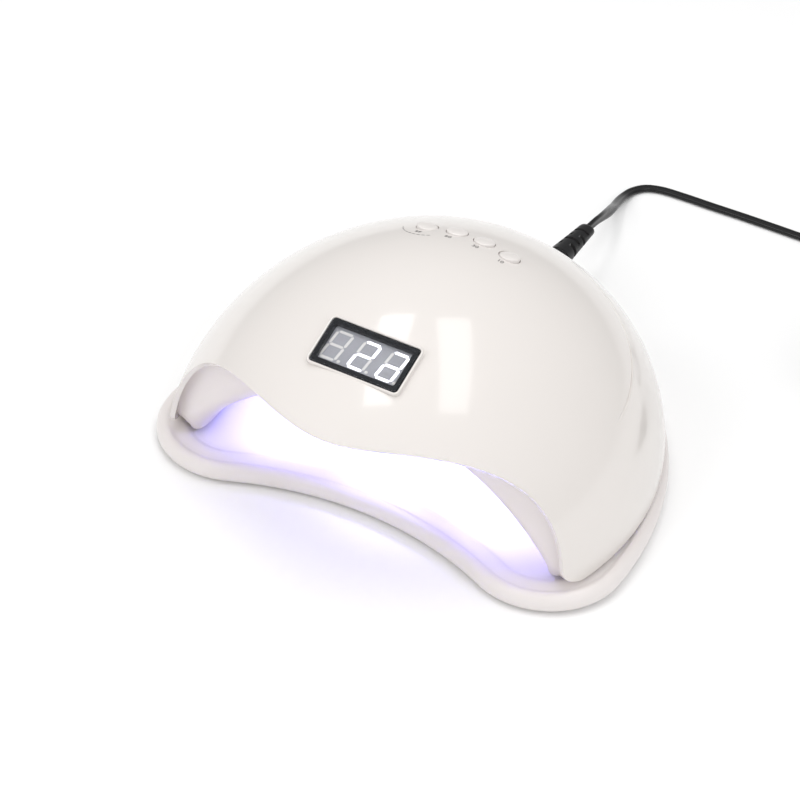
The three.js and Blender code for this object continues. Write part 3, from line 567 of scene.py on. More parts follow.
def rounded_rectangle(width, depth, radius, corner_steps=6):
    """The outline of a rectangle with round corners, anticlockwise."""
    points = []
    for quarter, (sx, sy) in enumerate(((1, 1), (-1, 1), (-1, -1), (1, -1))):
        cx, cy = sx * (width / 2 - radius), sy * (depth / 2 - radius)
        for i in range(corner_steps + 1):
            angle = math.pi / 2 * (quarter + i / corner_steps)
            points.append((cx + radius * math.cos(angle), cy + radius * math.sin(angle)))
    return points


def prism(outline, bottom, top):
    """A straight solid between two heights over an outline."""
    vertices = [(x, y, bottom) for x, y in outline] + [(x, y, top) for x, y in outline]
    return vertices, stacked_faces(2, len(outline))


def analytic_normals(piece, limit=0.8):
    """Gives the shell's outer surface the dome's own normals, so that cuts leave no marks in its gloss."""
    mesh = piece.data
    normals = []
    loops_vertex = [loop.vertex_index for loop in mesh.loops]
    corner_normals = [tuple(n.vector) for n in mesh.corner_normals]
    outer = {}
    for vertex in mesh.vertices:
        x, y, z = vertex.co / MM
        normal = dome_normal(x, y, z)
        surface = abs(shell_offset(x, y, z)) < 0.05
        outer[vertex.index] = normal if surface and recess(x, y, z) == 0 else None
    for polygon in mesh.polygons:
        for loop in polygon.loop_indices:
            normal = outer[loops_vertex[loop]]
            if normal is not None and normal.dot(polygon.normal) > limit:
                normals.append((loop, tuple(normal)))
            else:
                normals.append((loop, corner_normals[loop]))
    normals.sort()
    mesh.normals_split_custom_set([n for _, n in normals])


def shell_offset(x, y, z):
    """Rough distance of a point from the outer dome."""
    px, py = x / OUTER[0], (y - DOME_CENTRE_Y) / OUTER[1]
    rise = max((z - DOME_BASE_Z) / OUTER[2], 0)
    level = ((px * px + py * py) ** (DOME_POWER / 2) + rise ** DOME_POWER) ** (1 / DOME_POWER)
    return (level - 1) * OUTER[0]


def make_outer_shell(looks):
    vertices, faces = shell_surface()
    shell = add_object("lamp_shell", vertices, faces, looks["shell"], None)
    thicken(shell, SHELL_WALL, even=True)
    rim = shell.modifiers.new("rim", "BEVEL")
    rim.width = RIM_ROUND * MM
    rim.segments = 4
    rim.limit_method = "ANGLE"
    rim.angle_limit = math.radians(50)
    apply_modifiers(shell)
    cut = placed_prism(rounded_rectangle(*WINDOW_CUT), -9, 9)
    boolean(shell, add_object("cut", *cut, looks["shell"], None))
    for x, y in BUTTON_POINTS.values():
        hole = BUTTON_RADIUS + BUTTON_HOLE_GAP
        drill(shell, hole, -9, 9, dome_above(x, y)[0], BUTTON_NORMAL, looks["shell"])
    inlet = (0, DOME_CENTRE_Y + OUTER[1] - 4, INLET_Z)
    drill(shell, PLUG_RADIUS + INLET_GAP, -12, 12, inlet, (0, 1, 0), looks["shell"])
    shell.data.shade_smooth()
    sharpen(shell, 40)
    analytic_normals(shell)
    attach(shell, "head")
    finish_piece(shell, "outer_shell")


def weld(piece, distance=0.02):
    """Joins vertices that lie in one place, and drops the faces that vanish with it."""
    edit = bmesh.new()
    edit.from_mesh(piece.data)
    bmesh.ops.remove_doubles(edit, verts=edit.verts, dist=distance * MM)
    bmesh.ops.dissolve_degenerate(edit, edges=edit.edges, dist=distance * MM)
    edit.to_mesh(piece.data)
    edit.free()


def sharpen(piece, degrees):
    """Marks edges sharper than an angle, so that smooth shading stops there."""
    edit = bmesh.new()
    edit.from_mesh(piece.data)
    for edge in edit.edges:
        edge.smooth = len(edge.link_faces) == 2 and edge.calc_face_angle() < math.radians(degrees)
    edit.to_mesh(piece.data)
    edit.free()


# --- the white reflector
LINER_COLUMNS = 120
NOSE_RADIUS = 8.0
LINER_BASE_Z = 10.1
LIP_GAP = 0.15


def section_point(dome, angle):
    """A point of the dome's cross-section seen from the front, from its centre."""
    width, _, height, power = dome
    reach = (abs(math.cos(angle) / width) ** power + abs(math.sin(angle) / height) ** power) ** (-1 / power)
    return reach * math.cos(angle), reach * math.sin(angle)


def lip_point(angle, inset):
    """The point of the shell's edge in a direction from the middle of the base, inside its wall."""
    def open_at(reach):
        x, z = reach * math.cos(angle), DOME_BASE_Z + reach * math.sin(angle)
        return under_arch(x, z)

    reach = narrow(1.0, 130.0, 40, open_at)[0] - inset
    x, z = reach * math.cos(angle), max(DOME_BASE_Z + reach * math.sin(angle), LINER_BASE_Z)
    inner = tuple(v - SHELL_WALL - LIP_GAP for v in OUTER[:3])
    rise = (z - DOME_BASE_Z) / inner[2]
    plan = max(1 - rise ** DOME_POWER, 0) ** (2 / DOME_POWER) - (x / inner[0]) ** 2
    return Vector((x, DOME_CENTRE_Y - inner[1] * math.sqrt(max(plan, 0)), z))


def make_reflector(looks):
    """The front wall, its round nose, the tunnel and the rear half dome as one skin."""
    lip_steps, nose_steps, tunnel_steps, rear_steps = 8, 8, 14, 40
    rows = []
    angles = [math.pi * i / LINER_COLUMNS for i in range(LINER_COLUMNS + 1)]
    lips = [lip_point(angle, LIP_GAP) for angle in angles]
    sections = [section_point(LINER, angle) for angle in angles]
    corners = [Vector((x, FRONT_WALL_Y, DOME_BASE_Z + z)) for x, z in sections]
    starts = []
    for lip, corner in zip(lips, corners):
        gap = corner - lip
        starts.append(corner - gap * min(NOSE_RADIUS / max(gap.length, 1e-6), 0.85))
    for i in range(lip_steps):
        rows.append([lip.lerp(start, i / lip_steps) for lip, start in zip(lips, starts)])
    ends = [corner + Vector((0, NOSE_RADIUS, 0)) for corner in corners]
    for i in range(nose_steps + 1):
        t = i / nose_steps
        rows.append([start * (1 - t) ** 2 + corner * 2 * t * (1 - t) + end * t * t
                     for start, corner, end in zip(starts, corners, ends)])
    front = FRONT_WALL_Y + NOSE_RADIUS
    for i in range(1, tunnel_steps + 1):
        y = front + (DOME_CENTRE_Y - front) * i / tunnel_steps
        rows.append([Vector((corner.x, y, corner.z)) for corner in corners])
    for i in range(1, rear_steps + 1):
        turn = math.pi / 2 * i / rear_steps
        row = []
        for corner in corners:
            climb = math.asin(min((corner.z - DOME_BASE_Z) / LINER[2], 1) ** (LINER[3] / 2))
            x, y, z = meridian(LINER, turn, climb)
            row.append(Vector((math.copysign(x, corner.x), y, z)))
        rows.append(row)
    vertices = [(q.x, q.y, max(q.z, LINER_BASE_Z)) for row in rows for q in row]
    faces = grid_faces(len(rows), len(angles), flip=True)
    liner = add_object("hand_reflector", vertices, faces, looks["liner"], None)
    weld(liner)
    thicken(liner, 1.5)
    for place, normal, x, y in led_places():
        drill(liner, 3.6, -14, 7, place, normal, looks["liner"], (x, y), 32)
    liner.data.shade_smooth()
    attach(liner, "head")
    finish_piece(liner, "inner_reflector", 40)


def led_places():
    """Each LED's board place, board normal and offset on the board."""
    half = LED_SPACING / 2
    outer = (*(v + LINER_WALL for v in LINER[:3]), LINER[3])
    places = []
    for azimuth, elevation, forward in LED_BOARDS.values():
        point, normal = dome_toward(azimuth, elevation, outer)
        point.y -= forward
        places += [(point, normal, x, y) for x in (-half, half) for y in (-half, half)]
    return places


def make_leds(looks):
    """A lens in a white cup at each LED window."""
    for number, (point, normal, x, y) in enumerate(led_places(), 1):
        centre = turned([(x, y, 0)], point, normal)[0]
        lens = [(0, -1.9), (1.0, -1.8), (1.9, -1.3), (2.5, -0.5), (2.7, 0.4), (2.7, 2.2), (0, 2.2)]
        vertices, faces = lathe(lens, 24)
        placed = turned(vertices, centre, normal)
        piece = add_object(f"led_lens_{number:02d}", placed, faces, looks["led"], "head")


# --- the tray
def tray_outline(inset, steps=26):
    """The tray's plan, anticlockwise: rear half ellipse, lobe, notch, lobe."""
    rear_radius = TRAY_HALF_WIDTH - inset
    rear_depth = TRAY_REAR_Y - TRAY_CENTRE_Y - inset
    lobe_x = (TRAY_HALF_WIDTH - LOBE_RADIUS) * math.cos(LOBE_START)
    lobe_y = TRAY_CENTRE_Y - (TRAY_HALF_WIDTH - LOBE_RADIUS) * math.sin(LOBE_START)
    drop = lobe_y - NOTCH_Y
    notch_radius = (lobe_x ** 2 + drop ** 2 - LOBE_RADIUS ** 2) / (2 * (LOBE_RADIUS - drop))
    notch_y = NOTCH_Y - notch_radius
    lean = math.atan2(lobe_y - notch_y, lobe_x)

    def arc(cx, cy, rx, ry, start, end, count):
        return [(cx + rx * math.cos(start + (end - start) * i / count),
                 cy + ry * math.sin(start + (end - start) * i / count)) for i in range(count)]

    lobe, notch = LOBE_RADIUS - inset, notch_radius + inset
    points = arc(0, TRAY_CENTRE_Y, rear_radius, rear_radius, -LOBE_START, 0, 3)
    points += arc(0, TRAY_CENTRE_Y, rear_radius, rear_depth, 0, math.pi, 4 * steps)
    points += arc(0, TRAY_CENTRE_Y, rear_radius, rear_radius, math.pi, math.pi + LOBE_START, 3)
    points += arc(-lobe_x, lobe_y, lobe, lobe, math.pi + LOBE_START, 2 * math.pi - lean, steps)
    points += arc(0, notch_y, notch, notch, math.pi - lean, lean, steps)
    points += arc(lobe_x, lobe_y, lobe, lobe, math.pi + lean, 2 * math.pi - LOBE_START, steps)
    return points


TRAY_PROFILE = [
    (9, 1.6), (2.6, 1.6), (1.3, 1.9), (0.45, 2.7), (0.05, 3.9), (0, 5.2), (0.25, 6.6), (0.9, 7.8),
    (1.9, 8.7), (3.1, 9.15), (4.2, 9.2), (5.1, 8.95), (5.8, 8.55), (6.8, 8.35), (8.5, 8.35), (10.5, 8.3),
    (12, 8.15), (13.2, 7.75), (14.2, 7.2), (15.4, 6.9), (17.5, 6.8), (21, 6.8),
]


def make_tray(looks):
    vertices = []
    for inset, z in TRAY_PROFILE:
        vertices += [(x, y, z) for x, y in tray_outline(inset)]
    faces = stacked_faces(len(TRAY_PROFILE), len(tray_outline(0)))
    tray = add_object("base_tray_moulding", vertices, faces, looks["tray"], "tray")
    finish_piece(tray, "base_tray", 50)


def make_feet(looks):
    profile = [(0, 0), (4.6, 0), (5.2, 0.15), (5.5, 0.5), (5.9, 1.5), (5.9, 2.2), (0, 2.2)]
    vertices, faces = lathe(profile, 40)
    for place in ("front_left", "front_right", "rear_left", "rear_right"):
        centre = cad_box(f"foot_{place}")[0]
        placed = [(x + centre[0], y + centre[1], z) for x, y, z in vertices]
        foot = add_object(f"rubber_foot_{place}", placed, faces, looks["rubber"], "tray")
        finish_piece(foot, f"foot_{place}", 50)


# --- the display
def on_window(vertices):
    return turned(vertices, WINDOW_POINT, WINDOW_NORMAL)


def frame_prism(outer, inner, bottom, top):
    """A flat frame between an outer and an inner outline of the same number of points."""
    count = len(outer)
    vertices = [(x, y, bottom) for x, y in outer] + [(x, y, top) for x, y in outer]
    vertices += [(x, y, top) for x, y in inner] + [(x, y, bottom) for x, y in inner]
    faces = []
    for ring in range(4):
        a, b = ring * count, ((ring + 1) % 4) * count
        for i in range(count):
            j = (i + 1) % count
            faces.append((a + i, a + j, b + j, b + i))
    return vertices, faces


DIGIT_WIDTH = 8.1
DIGIT_HEIGHT = 14.2
DIGIT_PITCH = 12.7
DIGIT_LEAN = math.tan(math.radians(8))
SEGMENT_THICKNESS = 1.2


def segment_outline(name):
    """One bar of a seven segment digit, with pointed ends, about the digit's centre."""
    t = SEGMENT_THICKNESS / 2
    w, h = DIGIT_WIDTH / 2 - SEGMENT_THICKNESS / 2, DIGIT_HEIGHT / 2 - SEGMENT_THICKNESS / 2
    ends = {
        "a": ((-w, h), (w, h)), "d": ((-w, -h), (w, -h)), "g": ((-w, 0), (w, 0)),
        "f": ((-w, 0), (-w, h)), "b": ((w, 0), (w, h)), "e": ((-w, -h), (-w, 0)), "c": ((w, -h), (w, 0)),
    }[name]
    a, b = Vector(ends[0]), Vector(ends[1])
    along = (b - a).normalized()
    across = Vector((-along.y, along.x))
    gap = 0.22
    a, b = a + along * gap, b - along * gap
    points = [a, a + along * t - across * t, b - along * t - across * t]
    points += [b, b - along * t + across * t, a + along * t + across * t]
    return [(p.x + p.y * DIGIT_LEAN, p.y) for p in points]


# the lit bars of each digit
LIT = ("", "abged", "abgedc")


def make_display(looks):
    window_top = -WINDOW_DROP
    outline = placed_prism(rounded_rectangle(39.5, 21.1, 1.3), window_top - 0.39, window_top)
    pane = add_object("window_pane", *outline, looks["pane"], "head", smooth=False)
    bevel(pane, 0.12, 2)
    pane.visible_shadow = False
    finish_piece(pane)
    rings = rounded_rectangle(40, 21.6, 1.5), rounded_rectangle(35.4, 16.8, 0.7)
    vertices, faces = frame_prism(*rings, window_top - 3.2, window_top - 0.4)
    border = add_object("window_border", on_window(vertices), faces, looks["border"], "head", smooth=False)
    finish_piece(border, "display_window")
    rings = rounded_rectangle(42.4, 24.0, 2.6), rounded_rectangle(40.3, 21.9, 1.6)
    vertices, faces = frame_prism(*rings, -5, -0.3)
    bezel = add_object("window_bezel", on_window(vertices), faces, looks["shell"], "head", smooth=False)
    bevel(bezel, 0.5, 4)
    finish_piece(bezel)
    face_top = -FACE_DROP
    block = placed_prism(rounded_rectangle(37.6, 19, 0.4), face_top - 8, face_top)
    face = add_object("digit_face", *block, looks["face"], "head", smooth=False)
    bevel(face, 0.25, 2)
    finish_piece(face, "digit_module")
    for digit in range(3):
        centre = (digit - 1) * DIGIT_PITCH - 0.6
        for name in "abcdefg":
            outline = [(x + centre, y) for x, y in segment_outline(name)]
            look = looks["lit" if name in LIT[digit] else "segment"]
            bar = placed_prism(outline, face_top - 0.5, face_top + 0.12)
            piece = add_object(f"segment_{digit + 1}_{name}", *bar, look, "head", smooth=False)
            bevel(piece, 0.08, 2)
        dot = lathe([(0, -0.5), (0.75, -0.5), (0.75, 0.05), (0.6, 0.12), (0, 0.12)], 24)
        place = [(x + centre + 5.2 - DIGIT_LEAN * 6.3, y - 6.3, z + face_top) for x, y, z in dot[0]]
        piece = add_object(f"decimal_dot_{digit + 1}", on_window(place), dot[1], looks["segment"], "head")


def placed_prism(outline, bottom, top):
    """A prism that stands on the window's plane."""
    vertices, faces = prism(outline, bottom, top)
    return on_window(vertices), faces


# --- buttons and their numbers
def make_buttons(looks):
    r = BUTTON_RADIUS
    for time, (x, y) in BUTTON_POINTS.items():
        profile = [(0, -7.2), (2.2, -7.2), (2.2, -5.0), (5.6, -5.0), (5.6, -4.1), (r, -4.1), (r, 0.1)]
        profile += [(r - 0.08, 0.38), (r - 0.3, 0.6), (r - 0.7, 0.74), (3.0, 0.86), (1.9, 0.95), (0.9, 0.99), (0, 1.0)]
        vertices, faces = lathe(profile, 64)
        placed = turned(vertices, dome_above(x, y)[0], BUTTON_NORMAL)
        cap = add_object(f"button_cap_{time}", placed, faces, looks["button"], f"button_{time}")
        finish_piece(cap, f"button_{time}", 45)


def add_number(text, x, y, height, looks):
    """A small printed number that lies on the dome."""
    curve = bpy.data.curves.new("number", "FONT")
    curve.body = text
    curve.size = height
    curve.extrude = 0.02
    curve.align_x = "CENTER"
    curve.align_y = "CENTER"
    source = bpy.data.objects.new("number", curve)
    bpy.context.collection.objects.link(source)
    mesh = evaluated_mesh(source)
    bpy.data.objects.remove(source)
    point, normal = dome_above(x, y)
    vertices = turned([(v.co.x, v.co.y, v.co.z + 0.03) for v in mesh.vertices], point, normal)
    faces = [tuple(p.vertices) for p in mesh.polygons]
    piece = add_object(f"number_{text}", vertices, faces, looks["print"], "head", smooth=False)


def make_prints(looks):
    for time, (x, y) in BUTTON_POINTS.items():
        add_number(time[:2], x - 0.6, y - 7.2, 3.0, looks)
    x, y = BUTTON_POINTS["99s"]
    for number in range(9):
        angle = math.radians(200 + 12 * number)
        start, end = (angle, angle + math.radians(8))
        add_dash(f"printed_dash_{number + 1}", x, y, 10.2, start, end, looks)


def add_dash(name, x, y, radius, start, end, looks, width=0.35, steps=4):
    """A short printed arc on the dome round a centre."""
    vertices = []
    for r in (radius - width / 2, radius + width / 2):
        for i in range(steps + 1):
            angle = start + (end - start) * i / steps
            point, normal = dome_above(x + r * math.cos(angle), y + r * math.sin(angle))
            vertices.append(tuple(point + normal * 0.04))
    faces = grid_faces(2, steps + 1, flip=True)
    piece = add_object(name, vertices, faces, looks["print"], "head", smooth=False)
    thicken(piece, 0.03)


# --- cord, plug and adapter
def smooth_route(points, spacing=1.6):
    """A centripetal Catmull-Rom curve through points, sampled at even steps."""
    p = [np.array(q, float) for q in points]
    p = [2 * p[0] - p[1]] + p + [2 * p[-1] - p[-2]]
    dense = []
    for i in range(1, len(p) - 2):
        knots = [0.0]
        for a, b in zip(p[i - 1:i + 2], p[i:i + 3]):
            knots.append(knots[-1] + np.linalg.norm(b - a) ** 0.5)
        for t in np.linspace(knots[1], knots[2], 40, endpoint=False):
            a = [((knots[k + 1] - t) * p[i - 1 + k] + (t - knots[k]) * p[i + k]) / (knots[k + 1] - knots[k])
                 for k in range(3)]
            b = [((knots[k + 2] - t) * a[k] + (t - knots[k]) * a[k + 1]) / (knots[k + 2] - knots[k])
                 for k in range(2)]
            dense.append(((knots[2] - t) * b[0] + (t - knots[1]) * b[1]) / (knots[2] - knots[1]))
    dense.append(p[-2])
    return even_steps(np.array(dense), spacing)


def even_steps(points, spacing):
    along = np.concatenate([[0], np.cumsum(np.linalg.norm(np.diff(points, axis=0), axis=1))])
    count = max(int(round(along[-1] / spacing)), 2)
    wanted = np.linspace(0, along[-1], count + 1)
    return np.stack([np.interp(wanted, along, points[:, k]) for k in range(3)], 1)


def coil_points():
    """The turns of the coil: inwards on the lower layer, up, and outwards on the upper one."""
    lower, upper = COIL_LAYERS_Z
    points = []
    inward, rise, outward = 6 * math.pi, math.pi, 5 * math.pi
    steps = 520
    for i in range(steps + 1):
        turn = (inward + rise + outward) * i / steps
        if turn <= inward:
            radius, z = COIL_OUTER_TURN - COIL_TURN_PITCH * turn / (2 * math.pi), lower
        elif turn <= inward + rise:
            part = (turn - inward) / rise
            radius = COIL_INNER_TURN - 0.8 * math.sin(math.pi * part)
            z = lower + (upper - lower) * smoothstep(part, 0, 1)
        else:
            radius, z = COIL_INNER_TURN + COIL_TURN_PITCH * (turn - inward - rise) / (2 * math.pi), upper
        angle = turn - math.pi / 2
        x, y = COIL_CENTRE[0] + radius * math.cos(angle), COIL_CENTRE[1] + radius * math.sin(angle)
        points.append((x, y, z))
    return points


def cord_path():
    """The centreline from the strain relief to the adapter, and the share of edge-on twist at each point."""
    coil = coil_points()
    route = smooth_route(CORD_ROUTE + [(115.5, 221.9, 2.8)] + coil[::6] + [tuple(p) for p in TAIL_ROUTE])
    along = np.concatenate([[0], np.cumsum(np.linalg.norm(np.diff(route, axis=0), axis=1))])
    total = along[-1]
    twist = []
    for s in along:
        leaving = 1 - smoothstep(s, 8, 50)
        entering = smoothstep(s, 190, 228) * (1 - smoothstep(s, total - 45, total - 12))
        twist.append(max(leaving, entering))
    return route, twist, total


def cord_section(count=28):
    """The flat twin section: two round cores with a shallow groove between them."""
    points = []
    half_width, half_thick = CORD_WIDTH / 2, CORD_THICKNESS / 2
    for i in range(count):
        angle = 2 * math.pi * i / count
        x = half_width * math.copysign(abs(math.cos(angle)) ** 0.62, math.cos(angle))
        y = half_thick * math.copysign(abs(math.sin(angle)) ** 0.8, math.sin(angle))
        groove = 0.34 * math.exp(-((x / 0.6) ** 2))
        points.append((x, y - math.copysign(groove, y) if abs(y) > 0.5 else y))
    return points


def make_cord(looks):
    route, twist, total = cord_path()
    section = cord_section()
    vertices = []
    for i, point in enumerate(route):
        ahead = Vector(route[min(i + 1, len(route) - 1)] - route[max(i - 1, 0)]).normalized()
        side = ahead.cross(Vector((0, 0, 1))).normalized()
        rise = side.cross(ahead)
        angle = -twist[i] * math.pi / 2
        wide = side * math.cos(angle) + rise * math.sin(angle)
        thin = rise * math.cos(angle) - side * math.sin(angle)
        vertices += [tuple(Vector(point) + wide * x + thin * y) for x, y in section]
    faces = stacked_faces(len(route), len(section))
    cord = add_object("power_cord", vertices, faces, looks["cord"], None)
    sharpen(cord, 60)
    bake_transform(cord)
    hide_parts("cord_run", "cord_tail", "cord_coil")
    return cord, route, total


def ring_along_y(y, radius_x, radius_z, centre_z, count, groove=None):
    points = []
    for i in range(count):
        angle = 2 * math.pi * i / count
        share = 1 - (groove(angle) if groove else 0)
        points.append((radius_x * share * math.cos(angle), y, centre_z + radius_z * share * math.sin(angle)))
    return points


RELIEF_START_Y = 110.3
RELIEF_END_Y = 140.5
RELIEF_END_Z = 26.8
RELIEF_SLOTS = (117.5, 122.6, 127.7, 132.8)
SLOT_WIDTH = 2.3
GRIP_START_Y = 96.3
BARREL_START_Y = 84


def make_strain_relief(looks):
    """A tapered flat sleeve with rows of cross slots that leave two bridges each."""
    count = 64
    stations = [RELIEF_START_Y, RELIEF_START_Y + 0.3]
    for number, slot in enumerate(RELIEF_SLOTS):
        stations += [slot - SLOT_WIDTH / 2 - 0.25, slot - SLOT_WIDTH / 2, slot - SLOT_WIDTH / 2 + 0.1,
                     slot + SLOT_WIDTH / 2 - 0.1, slot + SLOT_WIDTH / 2, slot + SLOT_WIDTH / 2 + 0.25]
    stations += [136.5, 138.6, 139.6, 140.2, RELIEF_END_Y]
    rings = []
    for y in stations:
        part = (y - RELIEF_START_Y) / (RELIEF_END_Y - RELIEF_START_Y)
        radius_x = 5.5 - 1.7 * part
        radius_z = (5.5 - 2.1 * part) * (1 - 0.2 * part)
        if y > 139:
            radius_x -= (y - 139) ** 2 * 0.35
            radius_z -= (y - 139) ** 2 * 0.3
        centre_z = INLET_Z + (RELIEF_END_Z - INLET_Z) * part
        row = [n for n, slot in enumerate(RELIEF_SLOTS) if abs(y - slot) < SLOT_WIDTH / 2 - 0.05]
        groove = None
        if row:
            offset = 0 if row[0] % 2 else math.pi / 2

            def groove(angle, offset=offset):
                bridge = abs(math.cos(angle - offset))
                return 0.3 * (1 - smoothstep(bridge, 0.86, 0.93))
        rings += ring_along_y(y, radius_x, radius_z, centre_z, count, groove)
    faces = stacked_faces(len(stations), count, flip=True)
    relief = add_object("cord_strain_relief", rings, faces, looks["relief"], "head")
    return finish_piece(relief, "strain_relief", 35)


def make_plug(looks):
    """The plug's grip with a finger ridge, and its metal barrel."""
    grip = [(0, 0), (5.2, 0), (5.5, 0.3), (5.5, 2.6), (5.2, 3.0), (5.2, 3.8), (5.5, 4.2), (5.5, 5.6)]
    grip += [(5.2, 6.0), (5.2, 6.8), (5.5, 7.2), (5.5, 13.4), (5.3, 13.7), (0, 13.7)]
    vertices, faces = lathe(grip, 56)
    placed = pointed_back(vertices, 0, GRIP_START_Y, INLET_Z)
    plug = add_object("dc_plug_grip", placed, faces, looks["relief"], "head")
    finish_piece(plug, "dc_plug", 30)
    vertices, faces = lathe([(0, 0), (2.4, 0), (2.75, 0.4), (2.75, 12.6), (0, 12.6)], 40)
    placed = pointed_back(vertices, 0, BARREL_START_Y, INLET_Z)
    metal = add_object("dc_plug_barrel", placed, faces, looks["nickel"], "head")
    finish_piece(metal, edge=30)
    return [plug, metal]


def make_adapter(looks):
    """A two part wall adapter with a seam, its strain relief and two blades."""
    centre, size, high = cad_box("adapter_body")
    outline = rounded_rectangle(size[0], size[1], 6, 8)
    shrink = rounded_rectangle(size[0] - 3, size[1] - 3, 5, 8)
    shoulder = rounded_rectangle(size[0] - 0.9, size[1] - 0.9, 5.7, 8)
    seam = rounded_rectangle(size[0] - 0.7, size[1] - 0.7, 5.8, 8)
    levels = [(shrink, 0.2), (shoulder, 0.75), (outline, 1.9), (outline, 16.8), (seam, 17.0), (seam, 17.3),
              (outline, 17.5), (outline, size[2] - 1.5), (shoulder, size[2] - 0.35), (shrink, size[2] + 0.18)]
    vertices = [(x + centre[0], y + centre[1], z) for points, z in levels for x, y in points]
    faces = stacked_faces(len(levels), len(outline))
    body = add_object("wall_adapter", vertices, faces, looks["adapter"], "tray")
    pieces = [finish_piece(body, "adapter_body", 25)]
    profile = [(0, 0), (4.2, 0), (4.2, 1.2)]
    for i in range(5):
        z = 2.2 + 3.6 * i
        radius = 4.2 - 0.28 * (i + 1)
        profile += [(radius, z), (radius - 0.8, z + 0.15), (radius - 0.8, z + 1.5), (radius, z + 1.65)]
    profile += [(2.8, 20.6), (2.5, 21.6), (0, 21.6)]
    vertices, faces = lathe(profile, 48)
    placed = pointed_back(vertices, centre[0], high[1] + 0.3, TAIL_ROUTE[-1][2])
    relief = add_object("adapter_strain_relief", placed, faces, looks["relief"], "tray")
    pieces.append(finish_piece(relief, "adapter_relief", 30))
    for side in ("left", "right"):
        middle, extent, _ = cad_box(f"adapter_blade_{side}")
        outline = rounded_rectangle(extent[1], extent[2], 1.4, 6)
        vertices, faces = prism(outline, -extent[0] / 2, extent[0] / 2)
        placed = [(middle[0] + z, middle[1] + x, middle[2] + y) for x, y, z in vertices]
        blade = add_object(f"plug_blade_{side}", placed, faces, looks["nickel"], "tray", smooth=False)
        bevel(blade, 0.25, 2)
        pieces.append(finish_piece(blade, f"adapter_blade_{side}"))
    return pieces


def make_coil_tie(looks):
    centre, size, _ = cad_box("coil_tie")
    outer = rounded_rectangle(size[0], size[2], 1.8, 6)
    inner = rounded_rectangle(size[0] - 1.5, size[2] - 1.5, 1.2, 6)
    vertices, faces = frame_prism(outer, inner, -size[1] / 2, size[1] / 2)
    placed = [(centre[0] + x, centre[1] - z, centre[2] + y) for x, y, z in vertices]
    tie = add_object("cord_tie", placed, faces, looks["black"], "tray", smooth=False)
    bevel(tie, 0.15, 2)
    return finish_piece(tie, "coil_tie")


# --- pieces that keep their CAD shape
CAD_LOOKS = {
    "keeper_plate": "steel",
    "screw": "steel",
    "magnet": "nickel",
    "control_board": "board",
    "button_board": "board",
    "controller_chip": "black",
    "buzzer": "black",
    "capacitor": "nickel",
    "switch": "black",
    "plunger": "black",
    "led_board": "led_board",
    "sensor": "black",
    "dc_jack": "black",
}


def dress_cad_nodes(looks):
    for name, node in NODES.items():
        for start, look in CAD_LOOKS.items():
            if name.startswith(start):
                node.data.materials.clear()
                node.data.materials.append(looks[look])


# --- stage
ROOM_LIGHT = 0.37
FLOOR_HALF = 4000
GLOW_COLOR = (0.37, 0.38, 1.0)
GLOW_SPREAD = math.radians(110)
GLOW_RADIUS = 8.0
SOFTBOX_SIZE = (1300, 1300)


def make_stage():
    floor_material = new_material("floor", (0.97, 0.97, 0.97), 0.6, Specular_IOR_Level=0.2)
    roughen(floor_material, add_noise(floor_material, 12, 2), 0.5, 0.6)
    far = FLOOR_HALF
    vertices = [(-far, -far, 0), (far, -far, 0), (far, far, 0), (-far, far, 0)]
    floor = add_object("floor", vertices, [(0, 1, 2, 3)], floor_material, None, smooth=False)


def add_light(name, kind, power):
    data = bpy.data.lights.new(name, kind)
    data.energy = power
    light = bpy.data.objects.new(name, data)
    bpy.context.collection.objects.link(light)
    return light, data


def add_area(name, place, target, size, power, along=(0, 1, 0), glossy=True):
    """A rectangular softbox whose longer side runs along a direction."""
    light, data = add_light(name, "AREA", power)
    data.shape = "RECTANGLE"
    data.size, data.size_y = (s * MM for s in size)
    back = (Vector(place) - Vector(target)).normalized()
    right = Vector(along).cross(back).normalized()
    turn = Matrix((right, back.cross(right), back)).transposed().to_4x4()
    light.matrix_world = Matrix.Translation(Vector(place) * MM) @ turn
    light.visible_glossy = glossy


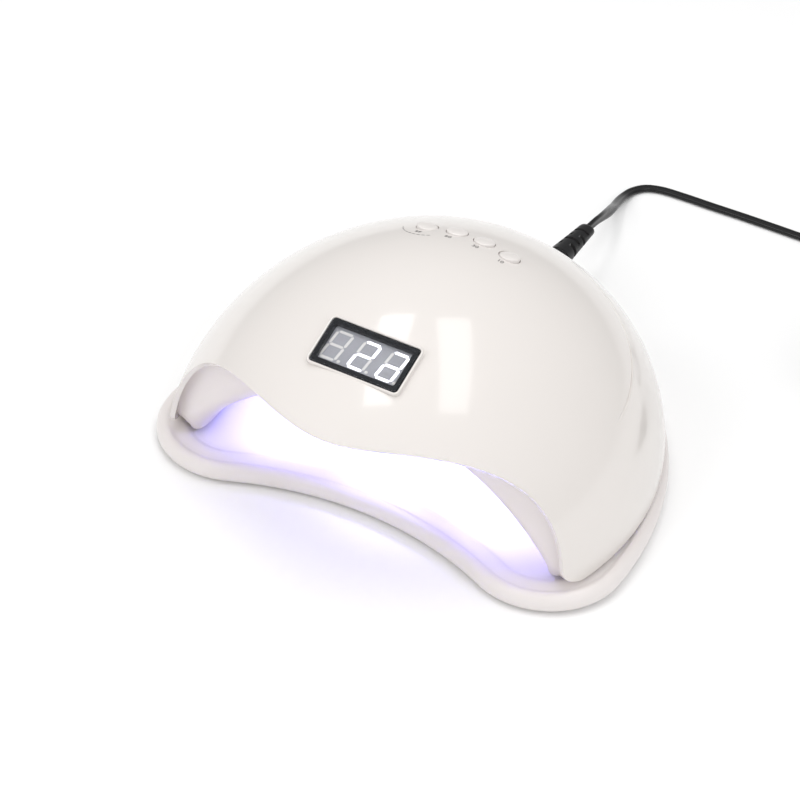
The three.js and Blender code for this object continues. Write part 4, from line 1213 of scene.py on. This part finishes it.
def make_lights():
    """A pale room, two strip softboxes overhead that show in the gloss, and four large soft ones."""
    world = bpy.data.worlds.new("studio")
    world.use_nodes = True
    background = world.node_tree.nodes["Background"].inputs
    background["Color"].default_value = (1, 1, 1, 1)
    background["Strength"].default_value = ROOM_LIGHT
    bpy.context.scene.world = world
    add_area("strip_right", (278, 290, 1290), (33, -55, 91), (285, 950), 2.0, (0.6, -0.8, 0))
    add_area("strip_left", (-269, 43, 1290), (5, -70, 91), (280, 910), 2.6, (0.383, -0.924, 0))
    for name, place, power in (
        ("key_left", (-850, -1050, 1050), 10.5),
        ("key_right", (1150, -500, 950), 9),
        ("rear_left", (-700, 1000, 1200), 3),
        ("overhead", (250, 150, 1900), 5),
    ):
        add_area(name, place, (0, 0, 40), SOFTBOX_SIZE, power, (0, 1, 0.3), False)


def make_glow():
    """The violet light that the LEDs throw down and back into the cavity."""
    for name, place, target, power in (
        ("glow_left", (-40, -34, 46), (-54, -26, 8), 0.45),
        ("glow_right", (40, -34, 46), (54, -26, 8), 0.42),
        ("glow_middle", (0, -24, 54), (0, -20, 8), 0.5),
        ("glow_rear", (0, 20, 44), (0, 22, 8), 0.4),
    ):
        light, data = add_light(name, "SPOT", power)
        data.color = GLOW_COLOR
        data.spot_size = GLOW_SPREAD
        data.spot_blend = 1.0
        data.shadow_soft_size = GLOW_RADIUS * MM
        light.location = Vector(place) * MM
        light.rotation_euler = (Vector(place) - Vector(target)).to_track_quat("Z", "Y").to_euler()
        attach(light, "head")


make_camera()
bpy.context.scene.view_settings.view_transform = "Standard"
MATERIALS = make_materials()
power_cord, cord_points, cord_length = make_cord(MATERIALS)
cord_pieces = [make_strain_relief(MATERIALS), *make_plug(MATERIALS), *make_adapter(MATERIALS)]
cord_pieces.append(make_coil_tie(MATERIALS))
# glossy pieces do not mirror the cord and what hangs on it
for piece in [power_cord, *cord_pieces]:
    piece.visible_glossy = False
make_outer_shell(MATERIALS)
make_reflector(MATERIALS)
make_leds(MATERIALS)
make_tray(MATERIALS)
make_feet(MATERIALS)
make_display(MATERIALS)
make_buttons(MATERIALS)
make_prints(MATERIALS)
dress_cad_nodes(MATERIALS)
make_stage()
make_lights()
make_glow()
